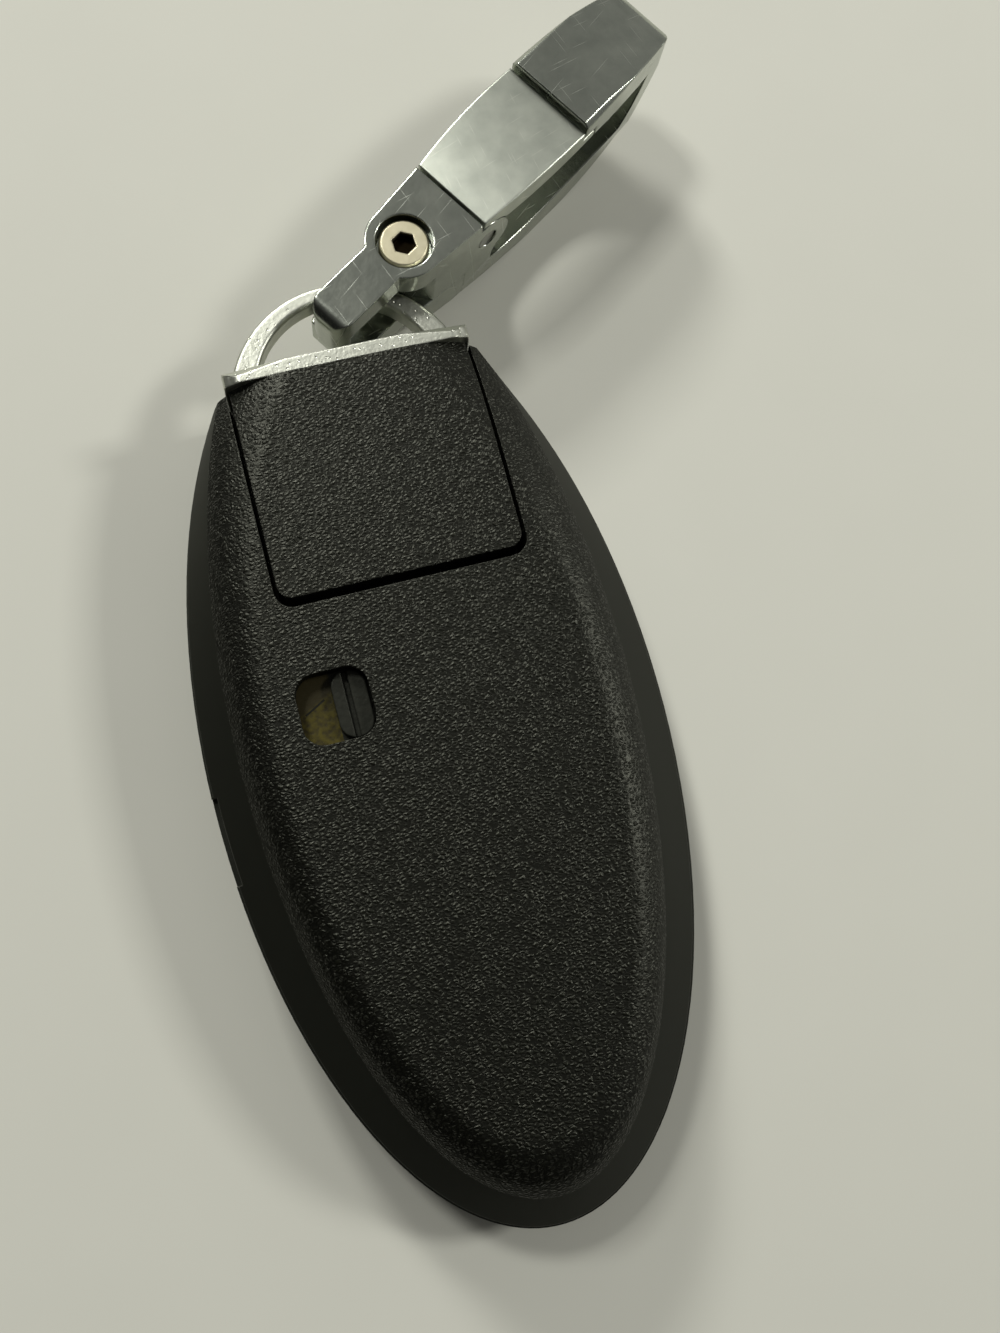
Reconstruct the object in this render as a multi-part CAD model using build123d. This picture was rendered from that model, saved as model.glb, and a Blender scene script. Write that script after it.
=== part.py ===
from build123d import *
import math
import os

# Smart key fob with its emergency key pushed in, a ring bail and a spring clip.
# Millimetres. The fob lies on its button side, which is the flat face at z = 0, and
# +Z points out of its grained back. +Y runs along the fob towards the bail.

# Case: an egg-shaped outline, given at its parting line
CASE_HALF_WIDTH = 20.7
CASE_TIP_Y = -38.5
CASE_END_Y = 38.4
CASE_END_HALF_WIDTH = 13.1
CASE_HEIGHT = 14.0
PARTING_Z = 6.5
EDGE_Z = 10.5
SHELL_WALL = 1.5
BACK_WALL = 1.6
RUNNING_GAP = 0.2

# How far each level of the case lies inside the parting outline: side, tip, ring end
EDGE_INSET = (3.1, 3.1, 1.0)
FIELD_INSET = (7.1, 8.1, 8.5)
FRONT_INSET = (4.4, 4.4, 2.4)
SHOULDER_START_DEG = 25
FRONT_CURVE_Z = 4.6
LIP_OUT = 0.2
PARTING_GROOVE = 0.25

# Pry slot in the left side of the parting line
PRY_Y = (-3.8, 2.1)
PRY_STEP_Y = 4.2
PRY_DEPTH = 1.0
PRY_STEP_DEPTH = 0.4
PRY_HALF_HEIGHT = 0.65

# Emergency key
HEAD_HALF_WIDTH = 10.9
HEAD_START_Y = 18.5
HEAD_BOTTOM_Z = 8.0
HEAD_CORNER = 1.3
HEAD_SIDE_GAP = 0.35
HEAD_END_GAP = 0.8
BLADE_WIDTH = 6.8
BLADE_THICKNESS = 2.2
BLADE_TIP_Y = -20.0
BLADE_ROOT_Y = 33.0
BLADE_BOTTOM_Z = 9.7
BLADE_GAP = 0.25
TRACK_WIDTH = 2.0
TRACK_DEPTH = 0.5
CHANNEL_WALL = 1.2
PLATE_THICKNESS = 1.3
PLATE_HALF_WIDTH = 10.8
PLATE_BOTTOM_Z = 3.4
PLATE_TOP_Z = 13.0
PLATE_GAP = 0.15

# Bail: a ring that is wide at its sides and narrow at its crown
BAIL_HALF_WIDTH = 10.7
BAIL_REACH = 7.95
BAIL_HOLE_HALF_WIDTH = 8.2
BAIL_HOLE_REACH = 6.5
BAIL_THICKNESS = 2.4
BAIL_Z = 8.45
BAIL_ROUND = 0.35
PLATE_CORNER = 1.2
FACET_LENGTH = 5.8
FACET_WIDTH = 0.85
FACET_DROP = 0.8

# Latch of the emergency key
WINDOW_X = (-11.6, -5.3)
WINDOW_Y = (5.5, 11.7)
WINDOW_CORNER = 1.8
THUMB_WIDTH = 3.0
THUMB_CORNER = 1.4
THUMB_DEPTH = 1.1
LATCH_THICKNESS = 1.2
LATCH_UNDER_BACK = 0.3
LATCH_SIDE_MARGIN = 0.6
LATCH_END_MARGIN = 0.4
TONGUE_WIDTH = 3.0
TONGUE_GAP = 0.2
THUMB_GROOVE = 0.5
THUMB_RIDGE = 1.1
NOTCH_DEPTH = 0.9
LUG_WIDTH = 1.1
LATCH_WIRE = 0.35
LATCH_COIL_RADIUS = 0.95
SPRING_TURNS = 5

# Buttons on the front face, counted from the ring end
BUTTON_NAMES = ("lock", "unlock", "trunk", "panic")
BUTTON_FIRST_Y = 23.5
BUTTON_PITCH = 9.5
BUTTON_LENGTH = 11.0
BUTTON_WIDTH = 7.0
BUTTON_ROUND = 2.6
BUTTON_RECESS = 0.3
BUTTON_FLANGE = 0.6
FLANGE_THICKNESS = 0.4
BUTTON_TRAVEL = 0.4
BUTTON_GAP = 0.15
MAT_TOP_Z = 3.0
MAT_MARGIN = 2.0
SWITCH_SIZE = 3.5

# Circuit board and what stands on it
BOARD_BOTTOM_Z = 3.9
BOARD_THICKNESS = 0.8
BOARD_EDGE_GAP = 0.3
CELL_RADIUS = 10.0
CELL_THICKNESS = 2.5
CELL_Y = -11.0
CONTACT_THICKNESS = 0.2
CONTACT_LIFT = 0.5
CONTACT_BASE = (9.0, 6.0)
CONTACT_ARM_WIDTH = 1.6
CONTACT_ARM_OFFSET = 2.6
CONTACT_ARM_REACH = 4.0
CONTACT_STRAP_WIDTH = 5.0
CONTACT_STRAP_FOOT = 2.2
CONTACT_STRAP_LAP = 3.4
COIL_SIZE = 10.0
COIL_HEIGHT = 3.0
COIL_Y = -28.5
COIL_CORNER = 1.6
COIL_FLANGE = 1.2
COIL_WALL = 0.6
POST_RADIUS = 1.3
POST_SPOTS = ((0, -29.5), (-11, -16), (11, -16), (-13.5, 4), (13.5, 4), (-11.5, 24), (11.5, 24))
CONTROL_CHIP = (5.0, 24.0, 6.0, 0.9)
RADIO_CHIP = (-6.0, 27.0, 4.0, 0.8)
CHIP_PIN_PITCH = 0.7
CRYSTAL = (-6.0, 20.5, 3.2, 2.5, 0.8)

# Clip, in its own frame: x along it from the screw, y across it, z up
CLIP_X = 7.7
CLIP_Y = 48.66
CLIP_TURN_DEG = 33.1
CLIP_TOP_Z = 13.4
ARM_END = -10.8
ARM_HALF_WIDTH = 2.15
ARM_THICKNESS = 2.6
ARM_TURN = 1.4
ARM_CORNER = 1.8
JAW_HALF_WIDTH = 2.6
SHACKLE_CAVITY = (-9.4, -4.2)
BAIL_RELIEF = 2.05
SHACKLE_HEIGHT = 4.5
JAW_BOTTOM_Z = 3.5
JAW_LENGTH = 4.6
JAW_TURN = 2.0
JAW_INNER_TURN = 0.5
JAW_SLOT = 0.3
JAW_SHORT = 0.75
BOSS_RADIUS = 3.65
SEAM = 6.2
SEAM_GAP = 0.3
SEAM_HALF_WIDTH = 4.15
CLIP_HALF_WIDTH = 4.8
WIDEST_X = 16.5
SPINE_HALF_WIDTH = 3.9
SPINE_TOP_Z = 3.0
SIDE_TOP_Z = 8.5
NOSE_START = 20.2
NOSE_TOP_Z = 14.4
NOSE_EDGE = 0.5
NOSE_END = 34.9
NOSE_BOW = 1.0
NOSE_CORNER = 1.4
NOSE_END_HALF_WIDTH = 3.5
GATE_UNDER_Z = 11.6
GATE_CROWN = 0.45
GATE_LIP = 1.3
LIP_TOP_Z = 12.35
SPINE_THICKNESS = 2.8
FOOT = (15.0, 18.5)
PIN_X = 7.2
PIN_Z = 9.8
PIN_RADIUS = 1.1
PIN_GAP = 0.05
EAR_RADIUS = 2.6
TANG_RADIUS = 2.0
TANG_WIDTH = 3.2
TAIL_LENGTH = 2.9
TAIL_BACK = 1.5
TAIL_FRONT = 0.6
SCREW_RADIUS = 1.25
SCREW_HEAD_RADIUS = 2.32
SCREW_HEAD_HEIGHT = 1.6
SCREW_HEAD_DEPTH = 0.35
SCREW_SOCKET_DEPTH = 1.0
SCREW_HEX = 2.0
SCREW_BORE_GAP = 0.03
COUNTERBORE_RADIUS = 2.65
SPRING_WALL = 0.45
GATE_WIRE = 0.35
GATE_COIL_RADIUS = 0.8

os.makedirs("parts", exist_ok=True)


def save(shape, name):
    export_step(shape, "parts/" + name + ".step")


def block(x, y, z):
    """Box between two limits on each axis."""
    size = (x[1] - x[0], y[1] - y[0], z[1] - z[0])
    middle = ((x[0] + x[1]) / 2, (y[0] + y[1]) / 2, (z[0] + z[1]) / 2)
    return Pos(*middle) * Box(*size)


def pad(length, width, corner, z, x=0.0, y=0.0):
    """Plate with rounded corners, standing between two heights."""
    outline = Pos(x, y, z[0]) * RectangleRounded(length, width, corner)
    return extrude(outline, z[1] - z[0])


def rod(radius, z, x=0.0, y=0.0):
    """Upright cylinder between two heights."""
    return Pos(x, y, (z[0] + z[1]) / 2) * Cylinder(radius, z[1] - z[0])


def coil(wire, radius, length, turns):
    """Compression spring along +X, its ends at x = 0 and at its length."""
    path = Helix((length - wire) / turns, length - wire, radius, direction=(1, 0, 0))
    section = Plane(origin=path @ 0, z_dir=path % 0) * Circle(wire / 2)
    return Pos(wire / 2, 0, 0) * sweep(section, path=path, is_frenet=True)


# Sections of the case

def oval(z, inset):
    """Level of the case at a height, inset from the parting outline at side, tip and end."""
    half_width = CASE_HALF_WIDTH - inset[0]
    tip_y = CASE_TIP_Y + inset[1]
    end_half_width = CASE_END_HALF_WIDTH - inset[2]
    reach = math.sqrt(1 - (end_half_width / half_width) ** 2)
    half_length = (CASE_END_Y - tip_y) / (1 + reach)
    return Pos(0, tip_y + half_length, z) * Ellipse(half_width, half_length)


def between(low, high, share):
    """Inset that lies a share of the way from one inset to another."""
    return tuple(a + (b - a) * share for a, b in zip(low, high))


def grown(inset, amount):
    """Inset with the same amount added at side, tip and ring end."""
    return tuple(value + amount for value in inset)


def shoulder_level(angle_deg):
    """Level of the rounded shoulder between the crisp edge and the flat back."""
    start = math.radians(SHOULDER_START_DEG)
    angle = math.radians(angle_deg)
    across = (math.cos(start) - math.cos(angle)) / math.cos(start)
    up = (math.sin(angle) - math.sin(start)) / (1 - math.sin(start))
    return oval(EDGE_Z + (CASE_HEIGHT - EDGE_Z) * up, between(EDGE_INSET, FIELD_INSET, across))


level = (0.0, 0.0, 0.0)
lip = (-LIP_OUT, -LIP_OUT, 0.0)


def front_level(angle_deg):
    """Level of the rounded rim between the front face and the side of the front shell."""
    angle = math.radians(angle_deg)
    inset = between(lip, FRONT_INSET, 1 - math.cos(angle))
    return oval(FRONT_CURVE_Z * (1 - math.sin(angle)), inset)


whole = block((-60, 60), (CASE_TIP_Y - 5, CASE_END_Y), (-1, CASE_HEIGHT + 1))
inner_end_y = CASE_END_Y - SHELL_WALL
inside = block((-60, 60), (CASE_TIP_Y - 5, inner_end_y), (-1, CASE_HEIGHT + 1))

band = loft([oval(PARTING_Z + PARTING_GROOVE, level), oval(EDGE_Z, EDGE_INSET)], ruled=True)
shoulder_angles = [SHOULDER_START_DEG + (90 - SHOULDER_START_DEG) * step / 4 for step in range(5)]
shoulder = loft([shoulder_level(angle) for angle in shoulder_angles])
groove = loft([oval(PARTING_Z, grown(level, PARTING_GROOVE)),
               oval(PARTING_Z + PARTING_GROOVE, level)], ruled=True)
back_outer = (groove + band + shoulder) & whole

front_rim = loft([front_level(angle) for angle in (90, 70, 50, 25, 0)])
front_side = loft([oval(FRONT_CURVE_Z, lip), oval(PARTING_Z, lip)], ruled=True)
front_outer = (front_rim + front_side) & whole


# Pry slot, cut into both halves of the case
pry_out_x = -CASE_HALF_WIDTH - 2
pry_heights = (PARTING_Z - PRY_HALF_HEIGHT, PARTING_Z + PRY_HALF_HEIGHT)
pry_slot = block((pry_out_x, PRY_DEPTH - CASE_HALF_WIDTH), PRY_Y, pry_heights)
pry_slot += block((pry_out_x, PRY_STEP_DEPTH - CASE_HALF_WIDTH), (PRY_Y[1], PRY_STEP_Y), pry_heights)

# Emergency key: sizes that the case is cut to
plate_y = CASE_END_Y + PLATE_GAP
blade_half = BLADE_WIDTH / 2
blade_top_z = BLADE_BOTTOM_Z + BLADE_THICKNESS
ceiling_z = CASE_HEIGHT - BACK_WALL
pocket_start_y = HEAD_START_Y - HEAD_END_GAP
pocket_half = HEAD_HALF_WIDTH + HEAD_SIDE_GAP
pocket_floor_z = HEAD_BOTTOM_Z - RUNNING_GAP
channel_half = blade_half + BLADE_GAP
channel_floor_z = BLADE_BOTTOM_Z - BLADE_GAP
channel_end_y = BLADE_TIP_Y - BLADE_GAP

pocket_outline = Pos(0, pocket_start_y, pocket_floor_z) * Rectangle(
    2 * pocket_half, CASE_END_Y + 5 - pocket_start_y, align=(Align.CENTER, Align.MIN))
pocket_corners = pocket_outline.vertices().group_by(Axis.Y)[0]
pocket = extrude(fillet(pocket_corners, HEAD_CORNER + HEAD_SIDE_GAP), CASE_HEIGHT)
channel = block((-channel_half, channel_half), (channel_end_y, HEAD_START_Y),
                (channel_floor_z, blade_top_z + BLADE_GAP))

# Latch: sizes that the case is cut to
window_width = WINDOW_X[1] - WINDOW_X[0]
window_length = WINDOW_Y[1] - WINDOW_Y[0]
window_mid_x = (WINDOW_X[0] + WINDOW_X[1]) / 2
latch_y = (WINDOW_Y[0] + WINDOW_Y[1]) / 2
latch_floor_z = ceiling_z - LATCH_UNDER_BACK
latch_bottom_z = latch_floor_z - LATCH_THICKNESS
latch_half_length = window_length / 2 + LATCH_END_MARGIN
latch_left_x = WINDOW_X[0] - LATCH_SIDE_MARGIN
latch_right_x = -channel_half - CHANNEL_WALL - RUNNING_GAP
spring_outer = LATCH_COIL_RADIUS + LATCH_WIRE / 2
spring_z = latch_bottom_z - spring_outer - LATCH_WIRE
spring_seat_x = latch_left_x - LATCH_END_MARGIN
lug_right_x = WINDOW_X[1] - LATCH_THICKNESS + LATCH_UNDER_BACK
lug_x = (lug_right_x - LUG_WIDTH, lug_right_x)
notch_half = TONGUE_WIDTH / 2 + RUNNING_GAP

# Rear shell: hollow over the circuit board, with the key housing moulded in
ceiling_inset = grown(between(EDGE_INSET, FIELD_INSET, 0.25), SHELL_WALL)
cavity = loft([oval(PARTING_Z - 1, grown(level, SHELL_WALL)),
               oval(PARTING_Z, grown(level, SHELL_WALL)),
               oval(EDGE_Z, grown(EDGE_INSET, SHELL_WALL)),
               oval(ceiling_z, ceiling_inset)], ruled=True)
channel_housing = block((-channel_half - CHANNEL_WALL, channel_half + CHANNEL_WALL),
                        (channel_end_y - CHANNEL_WALL, pocket_start_y),
                        (channel_floor_z - CHANNEL_WALL, CASE_HEIGHT))
pocket_housing = block((-pocket_half - CHANNEL_WALL, pocket_half + CHANNEL_WALL),
                       (pocket_start_y - CHANNEL_WALL, CASE_END_Y),
                       (pocket_floor_z - CHANNEL_WALL, CASE_HEIGHT))
spring_seat = block((-CASE_HALF_WIDTH, spring_seat_x),
                    (latch_y - spring_outer, latch_y + spring_outer),
                    (spring_z - spring_outer, latch_bottom_z - RUNNING_GAP))
room = (cavity & inside) - channel_housing - pocket_housing - spring_seat
tongue_port = block((-channel_half - 2 * CHANNEL_WALL, -channel_half + BLADE_GAP),
                    (latch_y - notch_half, latch_y + notch_half),
                    (latch_bottom_z - RUNNING_GAP, latch_floor_z + RUNNING_GAP))
window = pad(window_width, window_length, WINDOW_CORNER, (ceiling_z - 1, CASE_HEIGHT + 1),
             window_mid_x, latch_y)
rear_shell = back_outer - room - pocket - channel - tongue_port - window - pry_slot
save(rear_shell, "rear_shell")

# Front shell: a tray with four button holes, and posts that carry the circuit board
floor_inset = grown(FRONT_INSET, RUNNING_GAP)
rim_inset = grown(level, SHELL_WALL)
front_room = loft([oval(SHELL_WALL, floor_inset), oval(FRONT_CURVE_Z, rim_inset),
                   oval(PARTING_Z + 1, rim_inset)], ruled=True) & inside
front_shell = front_outer - front_room - pry_slot
for x, y in POST_SPOTS:
    front_shell += rod(POST_RADIUS, (SHELL_WALL / 2, BOARD_BOTTOM_Z), x, y)
button_spots = [BUTTON_FIRST_Y - BUTTON_PITCH * row for row in range(len(BUTTON_NAMES))]
for y in button_spots:
    front_shell -= pad(BUTTON_LENGTH + 2 * BUTTON_GAP, BUTTON_WIDTH + 2 * BUTTON_GAP,
                       BUTTON_ROUND + BUTTON_GAP, (-1, SHELL_WALL + 1), 0, y)
save(front_shell, "front_shell")

# Buttons: a cap in each hole, with a flange behind the wall that keeps it in
flange_z = (SHELL_WALL + 0.05, SHELL_WALL + 0.05 + FLANGE_THICKNESS)
for name, y in zip(BUTTON_NAMES, button_spots):
    cap = pad(BUTTON_LENGTH, BUTTON_WIDTH, BUTTON_ROUND, (BUTTON_RECESS, flange_z[1]), 0, y)
    cap = fillet(cap.edges().group_by(Axis.Z)[0], 0.25)
    cap += pad(BUTTON_LENGTH + 2 * BUTTON_FLANGE, BUTTON_WIDTH + 2 * BUTTON_FLANGE,
               BUTTON_ROUND + BUTTON_FLANGE, flange_z, 0, y)
    save(cap, name + "_button")

# Silicone mat: seats on the front wall round the buttons, thin skin over each of them
mat_length = BUTTON_LENGTH + 2 * BUTTON_FLANGE + 2 * MAT_MARGIN
mat_run = BUTTON_PITCH * (len(BUTTON_NAMES) - 1) + BUTTON_WIDTH + 2 * BUTTON_FLANGE + 2 * MAT_MARGIN
mat_mid_y = (button_spots[0] + button_spots[-1]) / 2
pressed_z = flange_z[1] + BUTTON_TRAVEL + 0.1
mat = pad(mat_length, mat_run, 3.0, (SHELL_WALL, MAT_TOP_Z), 0, mat_mid_y)
for y in button_spots:
    mat -= pad(BUTTON_LENGTH + 2 * BUTTON_FLANGE + 2 * RUNNING_GAP,
               BUTTON_WIDTH + 2 * BUTTON_FLANGE + 2 * RUNNING_GAP,
               BUTTON_ROUND + BUTTON_FLANGE, (SHELL_WALL - 1, pressed_z), 0, y)
save(mat, "button_membrane")

# Circuit board, with a tact switch over each button
board_top_z = BOARD_BOTTOM_Z + BOARD_THICKNESS
board_rise = (FRONT_CURVE_Z - BOARD_BOTTOM_Z) / (FRONT_CURVE_Z - SHELL_WALL)
board_inset = between(rim_inset, floor_inset, board_rise)
board = extrude(oval(BOARD_BOTTOM_Z, grown(board_inset, BOARD_EDGE_GAP)), BOARD_THICKNESS)
board &= block((-60, 60), (-60, inner_end_y - BOARD_EDGE_GAP), (0, CASE_HEIGHT))
save(board, "circuit_board")
for name, y in zip(BUTTON_NAMES, button_spots):
    switch = pad(SWITCH_SIZE, SWITCH_SIZE, 0.4, (BOARD_BOTTOM_Z - 0.6, BOARD_BOTTOM_Z), 0, y)
    switch += rod(0.9, (MAT_TOP_Z, BOARD_BOTTOM_Z - 0.5), 0, y)
    save(switch, name + "_switch")

# Electronics on the back of the board
for name, (x, y, size, height) in {"control_chip": CONTROL_CHIP, "radio_chip": RADIO_CHIP}.items():
    chip = pad(size, size, 0.2, (board_top_z + 0.1, board_top_z + height), x, y)
    pins = int(size / CHIP_PIN_PITCH) - 1
    for pin in range(pins):
        along = (pin - (pins - 1) / 2) * CHIP_PIN_PITCH
        chip += block((x - size / 2 - 0.5, x + size / 2 + 0.5), (y + along - 0.15, y + along + 0.15),
                      (board_top_z, board_top_z + height / 3))
    save(chip, name)
crystal_x, crystal_y, crystal_length, crystal_width, crystal_height = CRYSTAL
crystal = pad(crystal_length, crystal_width, 0.4, (board_top_z, board_top_z + crystal_height),
              crystal_x, crystal_y)
crystal = fillet(crystal.edges().group_by(Axis.Z)[-1], 0.15)
save(crystal, "crystal")
coil_top_z = board_top_z + COIL_HEIGHT
groove_z = (board_top_z + COIL_HEIGHT / 4, coil_top_z - COIL_HEIGHT / 3)
antenna = pad(COIL_SIZE, COIL_SIZE, COIL_CORNER, (board_top_z, coil_top_z), 0, COIL_Y)
antenna -= pad(COIL_SIZE - 2 * COIL_FLANGE, COIL_SIZE - 2 * COIL_FLANGE, COIL_FLANGE,
               (coil_top_z - COIL_WALL, CASE_HEIGHT), 0, COIL_Y)
winding = pad(COIL_SIZE + COIL_FLANGE, COIL_SIZE + COIL_FLANGE, COIL_CORNER, groove_z, 0, COIL_Y)
winding -= pad(COIL_SIZE - 2 * COIL_WALL, COIL_SIZE - 2 * COIL_WALL, COIL_FLANGE, (0, CASE_HEIGHT), 0, COIL_Y)
save(antenna - winding, "antenna_coil")

# Coin cell between two sheet contacts
cell_bottom_z = board_top_z + CONTACT_LIFT
cell_top_z = cell_bottom_z + CELL_THICKNESS
cell_profile = Plane.XZ * make_face(Polyline(
    (0, 0), (CELL_RADIUS - 1.2, 0), (CELL_RADIUS - 0.9, 0.5), (CELL_RADIUS, 0.5),
    (CELL_RADIUS, CELL_THICKNESS - 0.2), (CELL_RADIUS - 0.2, CELL_THICKNESS), (0, CELL_THICKNESS),
    close=True))
cell = Pos(0, CELL_Y, cell_bottom_z) * revolve(cell_profile, Axis.Z)
save(cell, "coin_cell")


def finger(width, outline, x, y):
    """Strip of spring sheet: a bent outline in the Y-Z plane, as wide along X as stated."""
    face = Plane.YZ * make_face(Polyline(*outline, close=True))
    return Pos(x, y, 0) * extrude(face, width / 2, both=True)


sheet = CONTACT_THICKNESS
low = board_top_z
rise = cell_bottom_z - sheet
root_y = -CONTACT_BASE[1] / 2
reach_y = CONTACT_ARM_REACH
bend_y = 0.75 * CONTACT_ARM_REACH
minus = pad(*CONTACT_BASE, 0.8, (low, low + sheet), 0, CELL_Y)
for side in (-1, 1):
    minus += finger(CONTACT_ARM_WIDTH, [
        (root_y, low), (root_y, low + sheet), (bend_y, rise + sheet), (reach_y, rise + sheet),
        (reach_y, rise), (bend_y, rise), (root_y + 5 * sheet, low)], side * CONTACT_ARM_OFFSET, CELL_Y)
save(minus, "cell_contact_negative")

rim_y = CELL_Y - CELL_RADIUS - 1.5 * sheet
foot_y = rim_y - CONTACT_STRAP_FOOT
lap_y = rim_y + CONTACT_STRAP_LAP
plus = finger(CONTACT_STRAP_WIDTH, [
    (foot_y, low), (rim_y, low), (rim_y, cell_top_z), (lap_y, cell_top_z), (lap_y, cell_top_z + sheet),
    (rim_y - sheet, cell_top_z + sheet), (rim_y - sheet, low + sheet), (foot_y, low + sheet)], 0, 0)
save(plus, "cell_contact_positive")

# Latch: a plate under the window, the thumb piece on it, and a tongue beside the blade
thumb_right_x = WINDOW_X[1] - RUNNING_GAP
thumb_left_x = thumb_right_x - THUMB_WIDTH
thumb_top_z = CASE_HEIGHT - THUMB_DEPTH
latch = block((latch_left_x, latch_right_x), (latch_y - latch_half_length, latch_y + latch_half_length),
              (latch_bottom_z, latch_floor_z))
latch += pad(THUMB_WIDTH, window_length - 2 * RUNNING_GAP, THUMB_CORNER, (latch_bottom_z, thumb_top_z),
             (thumb_left_x + thumb_right_x) / 2, latch_y)
groove_x = thumb_left_x + THUMB_RIDGE
latch -= block((groove_x, groove_x + THUMB_GROOVE), WINDOW_Y, (latch_floor_z + RUNNING_GAP, CASE_HEIGHT))
latch += block((latch_right_x - 1, -blade_half - TONGUE_GAP),
               (latch_y - TONGUE_WIDTH / 2, latch_y + TONGUE_WIDTH / 2), (latch_bottom_z, latch_floor_z))
latch += block(lug_x, (latch_y - spring_outer, latch_y + spring_outer),
               (spring_z - spring_outer, latch_bottom_z + 0.1))
save(latch, "latch_slider")
spring = coil(LATCH_WIRE, LATCH_COIL_RADIUS, lug_x[0] - spring_seat_x, SPRING_TURNS)
save(Pos(spring_seat_x, latch_y, spring_z) * spring, "latch_spring")

# Emergency key: blade with a milled track on both faces and a notch for the latch
blade_length = BLADE_ROOT_Y - BLADE_TIP_Y
blade_outline = Pos(0, BLADE_TIP_Y, BLADE_BOTTOM_Z) * Rectangle(
    BLADE_WIDTH, blade_length, align=(Align.CENTER, Align.MIN))
tip_corners = blade_outline.vertices().group_by(Axis.Y)[0]
blade = extrude(chamfer(tip_corners, BLADE_WIDTH / 3), BLADE_THICKNESS)
track_spots = [(0, BLADE_TIP_Y - 2), (0, BLADE_TIP_Y + 4), (1.0, BLADE_TIP_Y + 10),
               (-0.8, BLADE_TIP_Y + 17), (0.7, BLADE_TIP_Y + 24), (0, BLADE_TIP_Y + 31)]
track = trace(Polyline(*track_spots), TRACK_WIDTH)
for bottom in (BLADE_BOTTOM_Z - 1, blade_top_z - TRACK_DEPTH):
    blade -= extrude(Pos(0, 0, bottom) * track, 1 + TRACK_DEPTH)
blade -= block((-blade_half - 1, NOTCH_DEPTH - blade_half), (latch_y - notch_half, latch_y + notch_half),
               (BLADE_BOTTOM_Z - 1, blade_top_z + 1))
save(blade, "key_blade")

# Grip of the key: its back carries on the shoulder and the flat of the case
grip_outline = Pos(0, HEAD_START_Y, HEAD_BOTTOM_Z) * Rectangle(
    2 * HEAD_HALF_WIDTH, plate_y - HEAD_START_Y, align=(Align.CENTER, Align.MIN))
grip_corners = grip_outline.vertices().group_by(Axis.Y)[0]
grip = extrude(fillet(grip_corners, HEAD_CORNER), CASE_HEIGHT)
grip &= band + shoulder
grip -= block((-blade_half, blade_half), (HEAD_START_Y - 1, BLADE_ROOT_Y), (BLADE_BOTTOM_Z, blade_top_z))
save(grip, "key_head")

# Bail: end plate and D-shaped ring, cast as one
ring_base_y = plate_y + PLATE_THICKNESS


def facet(side):
    """Plane that slopes off the plate's upper edge towards one of its ends."""
    start = (side * (PLATE_HALF_WIDTH - FACET_LENGTH), ring_base_y, PLATE_TOP_Z)
    outward = (side / FACET_LENGTH, 1 / FACET_WIDTH, 1 / FACET_DROP)
    return Plane(origin=start, z_dir=outward)


def arch(half_width, reach):
    """Flat D between the end plate and an arc over it."""
    return make_face([Line((-half_width, 0), (half_width, 0)),
                      ThreePointArc((half_width, 0), (0, reach), (-half_width, 0))])


plate = pad(2 * PLATE_HALF_WIDTH, PLATE_TOP_Z - PLATE_BOTTOM_Z, PLATE_CORNER, (0, PLATE_THICKNESS))
plate = Pos(0, ring_base_y, (PLATE_BOTTOM_Z + PLATE_TOP_Z) / 2) * Rot(90, 0, 0) * plate
for side in (-1, 1):
    plate = split(plate, bisect_by=facet(side), keep=Keep.BOTTOM)
ring = arch(BAIL_HALF_WIDTH, BAIL_REACH) - arch(BAIL_HOLE_HALF_WIDTH, BAIL_HOLE_REACH)
ring = extrude(Pos(0, ring_base_y, BAIL_Z) * ring, BAIL_THICKNESS / 2, both=True)
ring = fillet(ring.edges().filter_by(GeomType.CIRCLE), BAIL_ROUND)
save(plate + ring, "bail")

# Clip: everything below is drawn in the clip's own frame and then set in place
clip_place = Pos(CLIP_X, CLIP_Y, 0) * Rot(0, 0, CLIP_TURN_DEG)
clip_wide = 2 * CLIP_HALF_WIDTH


def crossing():
    """Place along the clip where it crosses the middle of the bail's arc, and the bail's turn there."""
    half_width = (BAIL_HALF_WIDTH + BAIL_HOLE_HALF_WIDTH) / 2
    reach = (BAIL_REACH + BAIL_HOLE_REACH) / 2
    radius = (half_width ** 2 + reach ** 2) / (2 * reach)
    turn = math.radians(CLIP_TURN_DEG)
    x, y = CLIP_X, CLIP_Y - (ring_base_y + reach - radius)
    ahead = x * math.cos(turn) + y * math.sin(turn)
    place = math.sqrt(ahead ** 2 + radius ** 2 - x ** 2 - y ** 2) - ahead
    bail_x, bail_y = x + place * math.cos(turn), y + place * math.sin(turn)
    return place, math.degrees(math.atan2(-bail_x, bail_y))


bail_cross, bail_turn_deg = crossing()


def side_view(edges):
    """Solid as wide as the clip, from an outline in its side view."""
    return extrude(Plane.XZ * make_face(edges), clip_wide, both=True)


def spot(radius, angle_deg):
    """Point of the side view, given round the gate's pin."""
    angle = math.radians(angle_deg)
    return (PIN_X + radius * math.cos(angle), PIN_Z + radius * math.sin(angle))


def height_at(radius, x):
    """Height of the upper half of a circle round the gate's pin."""
    return PIN_Z + math.sqrt(radius ** 2 - (x - PIN_X) ** 2)


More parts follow.
